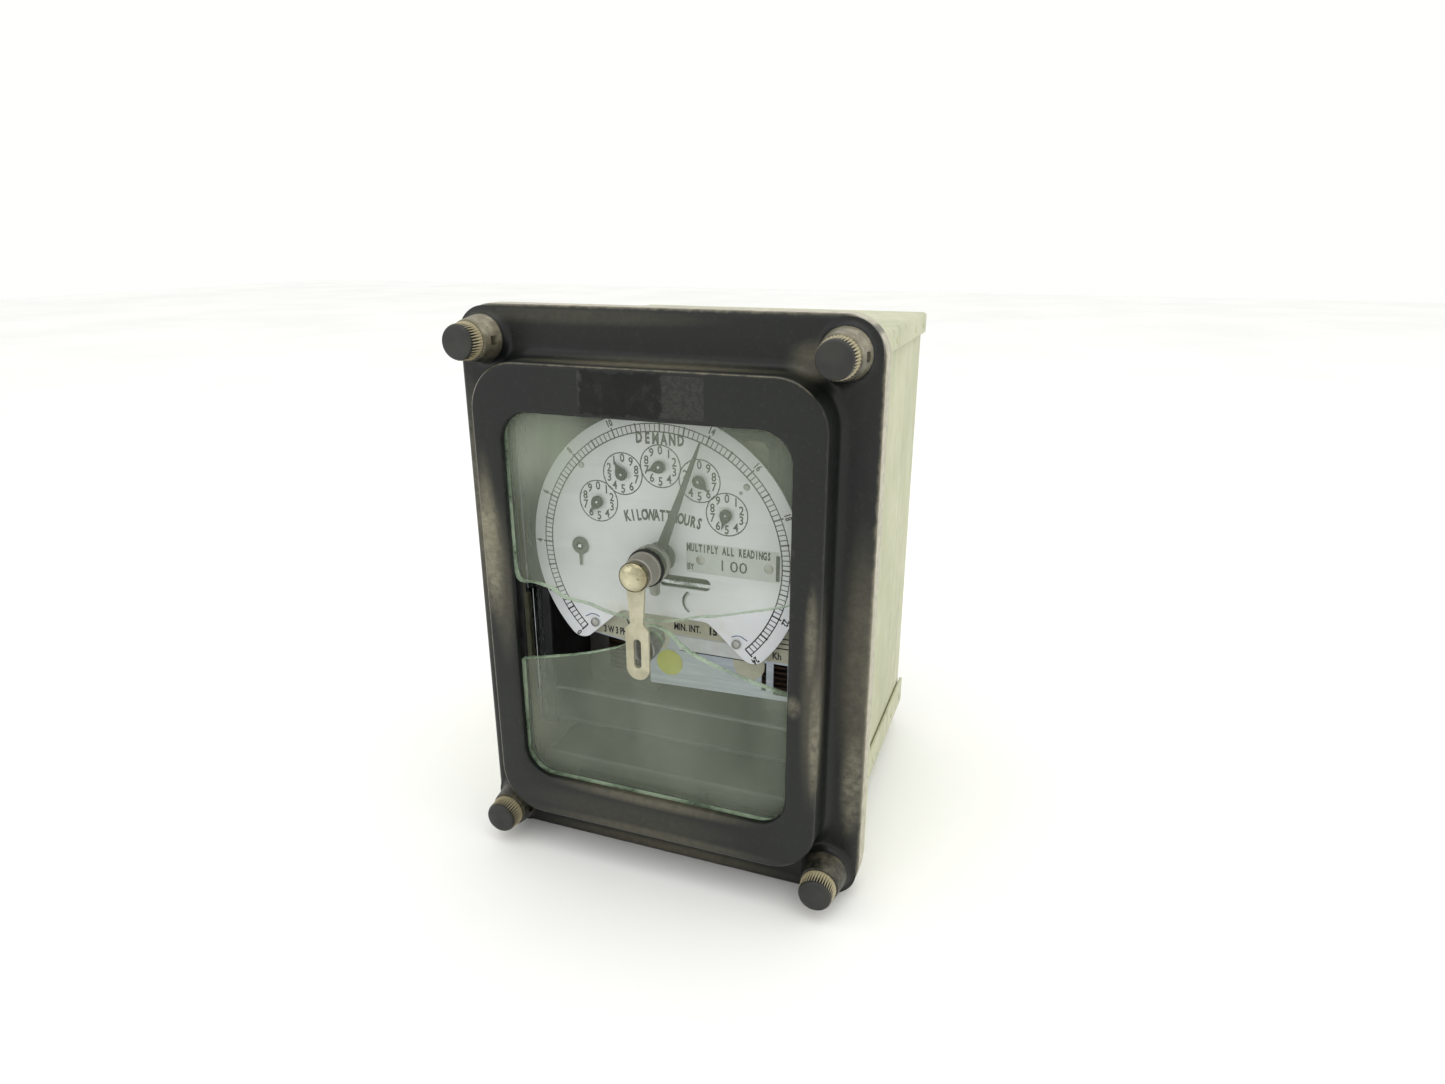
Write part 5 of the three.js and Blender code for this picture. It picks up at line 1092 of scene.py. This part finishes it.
def build_demand_pointer():
    span = Span("demand_pointer")
    rest = 69.0
    blade = [(51.3, 0.0), (50.2, 0.4), (43, 0.85), (30, 1.25), (17, 1.7), (11, 1.95), (5.2, 2.2)]
    turn = math.radians(rest)

    def on_blade(r, side):
        return (RESET_X + r * math.cos(turn) - side * math.sin(turn),
                RESET_Z + r * math.sin(turn) + side * math.cos(turn))

    outline = [on_blade(r, w) for r, w in blade] + [polar(5.6, rest + t) for t in range(40, 321, 20)]
    outline += [on_blade(r, -w) for r, w in blade[:0:-1]]
    shape = Shape()
    shape.plate([outline], span.y0 + 0.6, span.y0 + 1.05, 0.1)
    hub = [(0, span.y0), (1.4, span.y0), (1.6, span.y0 + 0.5), (4.6, span.y0 + 0.6), (5.2, span.y0 + 1.0),
           (5.2, span.y0 + 2.2),
           (6.0, span.y0 + 2.4), (6.1, span.y0 + 4.2), (5.8, span.y0 + 4.5), (1.5, span.y0 + 4.5),
           (1.5, span.y1), (0, span.y1)]
    shape.lathe(hub, RESET_X, RESET_Z, 44)
    piece("demand_pointer_blade", shape, "demand", POINTER, ["demand_pointer"])


# ---- Nameplate ----
def build_nameplate():
    span = Span("nameplate")
    y = span.y0
    shape = Shape()
    outline = [(-39.6, -4.6), (-40, -5), (-40, -17.4), (-8.5, -21.6), (-8.5, -36.4), (-8, -37), (55.4, -35),
               (56, -34.4),
               (56, -5), (55.6, -4.6)]
    windows = [[(40.3, -32), (42.2, -32), (42.2, -19.8), (40.3, -19.8)],
               [(45.2, -33.2), (51, -33.2), (51, -19.5), (45.2, -19.5)]]
    shape.plate([outline] + windows, y, span.y1, 0.1)
    piece("nameplate_etched", shape, "cradle", PLATE, ["nameplate"])
    olive = Shape()
    olive.plate([[(-39, -16.8), (-9, -20.8), (-1, -20.8), (2, -13.4), (33, -13.4), (37, -18.6), (55, -18.6),
                  (55, -5), (-39, -5)]],
                y - 0.06, y - 0.01)
    olive.plate([circle(35, -21.5, 6.6, 36)], y - 0.05, y - 0.01)
    piece("nameplate_panels", olive, "cradle", OLIVE)
    white = Shape()
    white.plate([[(2.2, -13.8), (34, -13.8), (34, -19.8), (5.2, -19.8)]], y - 0.14, y - 0.07)
    piece("nameplate_fields", white, "cradle", LABEL)
    marks = Shape()
    marks.letters("V", 3.0, -17.5, -11.4, y - 0.07, 0, 0.8, 0.05)
    marks.letters("3 W 3 PH 60 Hz", 3.0, -20.5, -15.9, y - 0.07, 0, 0.6, 0.05)
    marks.letters("MIN. INT.", 2.9, 8.6, -9.9, y - 0.07, 0, 0.68, 0.04)
    marks.letters("15", 3.1, 19.6, -9.8, y - 0.07, 0, 0.9, 0.07)
    marks.letters("Kh", 2.9, 46.5, -16.0, y - 0.07, 0, 0.8, 0.04)
    for line in range(3):
        marks.stroke([(41.8, -8.2 - 2.1 * line), (53.5, -8.2 - 2.1 * line)], 0.5, y - 0.07)
    marks.stroke([(5, -20.1), (34.5, -20.1)], 0.3, y - 0.15)
    marks.lathe([(0, y - 0.2), (1.1, y - 0.2), (1.1, y - 0.1), (0, y - 0.1)], 12, -21.2, 20)
    piece("nameplate_print", marks, "cradle", INK)
    dot = Shape()
    dot.plate([circle(0.5, -26.4, 5.7, 40)], y - 0.16, y - 0.07)
    piece("test_sticker", dot, "cradle", STICKER)


# ---- Everything that keeps its CAD shape, with its edges rounded ----
def build_case():
    def wear(x, y, z):
        corner = near(abs(z), 105, 3) + near(abs(x), 73.8, 2) * (abs(z) > 88)
        return min(0.5, corner * 0.35)

    eased("case_wrapper", "case", CASE, 0.5, 2, wear=wear, merge=False)
    eased("case_top_cap", "case", CASE, 0.6, 3, wear=wear, merge=False)
    eased("case_bottom_cap", "case", CASE, 0.6, 3, wear=wear, merge=False)
    eased("case_flange", "case", CASE, 0.35, 2, merge=False)
    rivets = Shape()
    top, bottom = Span("case_top_cap"), Span("case_bottom_cap")
    for side in (-1, 1):
        for cap, z in ((top, top.z1 - 5.5), (bottom, bottom.z0 + 7)):
            for depth in (18, 64, 110, 132):
                face = side * cap.x1
                y = cap.y0 + depth
                dome = [(0, 0.75), (0.9, 0.62), (1.6, 0.2), (1.75, -0.3), (0, -0.3)]
                loops = [[(face + side * rise, y + r * math.cos(t), z + r * math.sin(t))
                          for t in (2 * math.pi * i / 16 for i in range(16))] for r, rise in dome]
                rivets.loft(loops)
    piece("case_rivets", rivets, "case", CASE)


TERMINAL_COLUMNS, TERMINAL_PITCH, TERMINAL_Z = 5, 20, -70
STUD_R, STUD_OUT, STUD_THREAD = 2.5, 13, 0.8
TERMINAL_NUT_R, TERMINAL_NUT_END = 4.95, 5.3


def build_terminals():
    span = Span("terminal_studs")
    back = span.y1 - STUD_OUT
    nut_end = back + TERMINAL_NUT_END
    profile = [(0, span.y0), (STUD_R - 0.4, span.y0), (STUD_R, span.y0 + 0.4), (STUD_R, nut_end - 1)]
    for turn in range(8):
        y = nut_end + turn * STUD_THREAD
        profile += [(STUD_R, y), (STUD_R, y + 0.15), (STUD_R - 0.3, y + 0.4), (STUD_R - 0.3, y + 0.55)]
    profile += [(STUD_R - 0.1, span.y1 - 0.8), (STUD_R - 0.6, span.y1), (0, span.y1)]
    shape = Shape()
    for column in range(TERMINAL_COLUMNS):
        x = (column - (TERMINAL_COLUMNS - 1) / 2) * TERMINAL_PITCH
        for z in (TERMINAL_Z - TERMINAL_PITCH / 2, TERMINAL_Z + TERMINAL_PITCH / 2):
            shape.lathe(profile, x, z, 20)
            shape.lathe([(STUD_R, back + 0.3), (4.8, back + 0.3), (4.8, back + 1.1), (STUD_R, back + 1.1)],
                        x, z, 28, 2, wrap=True)
            shape.plate([circle(x, z, TERMINAL_NUT_R, 6)], back + 1.15, nut_end, 0.45, 1, 1)
    piece("terminal_studs_threaded", shape, "case", [BRASS, TARNISHED, STEEL], ["terminal_studs"])


EASED = [
    ("cradle_rail_left", "case", DARK, 0.4), ("cradle_rail_right", "case", DARK, 0.4),
    ("terminal_block", "case", PHENOLIC, 0.6), ("contact_block", "case", PHENOLIC, 0.6),
    ("cover_gasket", "cover", RUBBER, 0.2), ("glass_gasket", "cover", RUBBER, 0.2),
    ("glass_retainer", "cover", DARK, 0.3),
    ("reset_washer", "cover", RUBBER, 0.15), ("reset_lock_nut", "cover", STEEL, 0.3),
    ("reset_shaft", "reset", STEEL, 0.3), ("reset_arm", "reset", STEEL, 0.25),
    ("cradle_frame", "cradle", DARK, 0.4), ("latch_strip_left", "cradle", BRIGHT, 0.2),
    ("latch_strip_right", "cradle", BRIGHT, 0.2), ("register_front_plate", "cradle", TARNISHED, 0.2),
    ("register_back_plate", "cradle", TARNISHED, 0.2), ("demand_pusher_bar", "cradle", BRIGHT, 0.2),
    ("timing_motor", "cradle", STEEL, 0.5), ("stator_core_left", "cradle", LAMINATED, 0.3),
    ("stator_core_right", "cradle", LAMINATED, 0.3), ("voltage_coil_left", "cradle", TAPE, 1.2),
    ("voltage_coil_right", "cradle", TAPE, 1.2), ("current_coil_left", "cradle", COPPER, 1.0),
    ("current_coil_right", "cradle", COPPER, 1.0), ("upper_bearing", "cradle", STEEL, 0.4),
    ("lower_bearing", "cradle", STEEL, 0.4), ("braking_magnet", "cradle", MAGNET, 0.8),
    ("rotor_disc", "rotor", ALUMINIUM, 0.2), ("rotor_shaft", "rotor", NICKEL, 0.1),
    ("worm_wheel", "wheel", BRASS, 0.1),
    ("connection_plug", "plug", PHENOLIC, 0.7),
    ("plug_blades", "plug", CONTACT, 0.2),
]


def build_rest():
    shelf = Span("cradle_frame")
    lip = Shape()
    lip.box(shelf.x0 + 9.5, shelf.x1 - 9.5, shelf.y0 + 0.2, shelf.y0 + 1.4, -50.2, -49.0)
    piece("cradle_lower_strip", lip, "cradle", TIMER)
    for node, body, material, width in EASED:
        eased(node, body, material, width)


# ---- Studio ----
FLOOR_REACH = 4.0                 # metres each way
LAMP_TARGET = (0, 0, 0.1)
LAMPS = [                         # name, place in metres, width in metres, watts
    ("overhead", (0.3, -0.5, 1.9), 1.8, 9),
    ("front_left", (-1.3, -1.6, 0.9), 1.2, 3),
    ("right", (1.6, 0.2, 1.0), 1.2, 2),
]
LENS, SENSOR = 22.77, 36          # millimetres
CAMERA_FORWARD = (-0.33476, 0.88624, -0.32017)
CAMERA_RIGHT = (0.93561, 0.35303, -0.00105)
CAMERA_PLACE = (0.14139, -0.37665, 0.25701)


def build_studio():
    scene = bpy.context.scene
    scene.view_settings.view_transform = "Standard"
    world = bpy.data.worlds.new("studio")
    world.use_nodes = True
    background = world.node_tree.nodes["Background"]
    background.inputs["Color"].default_value = (1.0, 1.0, 0.985, 1)
    background.inputs["Strength"].default_value = 1.0
    scene.world = world
    floor_mesh = bpy.data.meshes.new("floor")
    reach = FLOOR_REACH
    floor_mesh.from_pydata([(-reach, -reach, 0), (reach, -reach, 0), (reach, reach, 0), (-reach, reach, 0)],
                           [], [(0, 1, 2, 3)])
    floor = bpy.data.objects.new("floor", floor_mesh)
    scene.collection.objects.link(floor)
    paper = Finish("floor_paper", Specular_IOR_Level=0.2)
    paper.colour(paper.mix(paper.band(paper.noise(3, 4), 0.3, 0.7), rgb(248, 248, 246), rgb(254, 254, 252)))
    paper.roughness(paper.band(paper.noise(8, 3), 0.3, 0.7, 0.7, 0.85))
    floor_mesh.materials.append(paper.material)
    for name, spot, size, power in LAMPS:
        light = bpy.data.lights.new(name, "AREA")
        light.size = size
        light.energy = power
        lamp = bpy.data.objects.new(name, light)
        lamp.location = spot
        lamp.rotation_euler = (Vector(LAMP_TARGET) - Vector(spot)).to_track_quat("-Z", "Y").to_euler()
        scene.collection.objects.link(lamp)


def build_camera():
    camera = bpy.data.cameras.new("camera")
    camera.lens = LENS
    camera.sensor_width = SENSOR
    camera.clip_start = 0.01
    obj = bpy.data.objects.new("camera", camera)
    bpy.context.scene.collection.objects.link(obj)
    forward = Vector(CAMERA_FORWARD)
    right = Vector(CAMERA_RIGHT)
    up = right.cross(forward).normalized()
    right = forward.cross(up).normalized()
    place = Matrix((right, up, -forward.normalized())).transposed().to_4x4()
    place.translation = CAMERA_PLACE
    obj.matrix_world = place
    bpy.context.scene.camera = obj


build_camera()
build_studio()
build_cover()
build_thumb_nuts()
build_glass()
build_reset()
build_dial()
build_pointers()
build_demand_pointer()
build_interval_pointer()
build_nameplate()
build_case()
build_terminals()
build_rest()
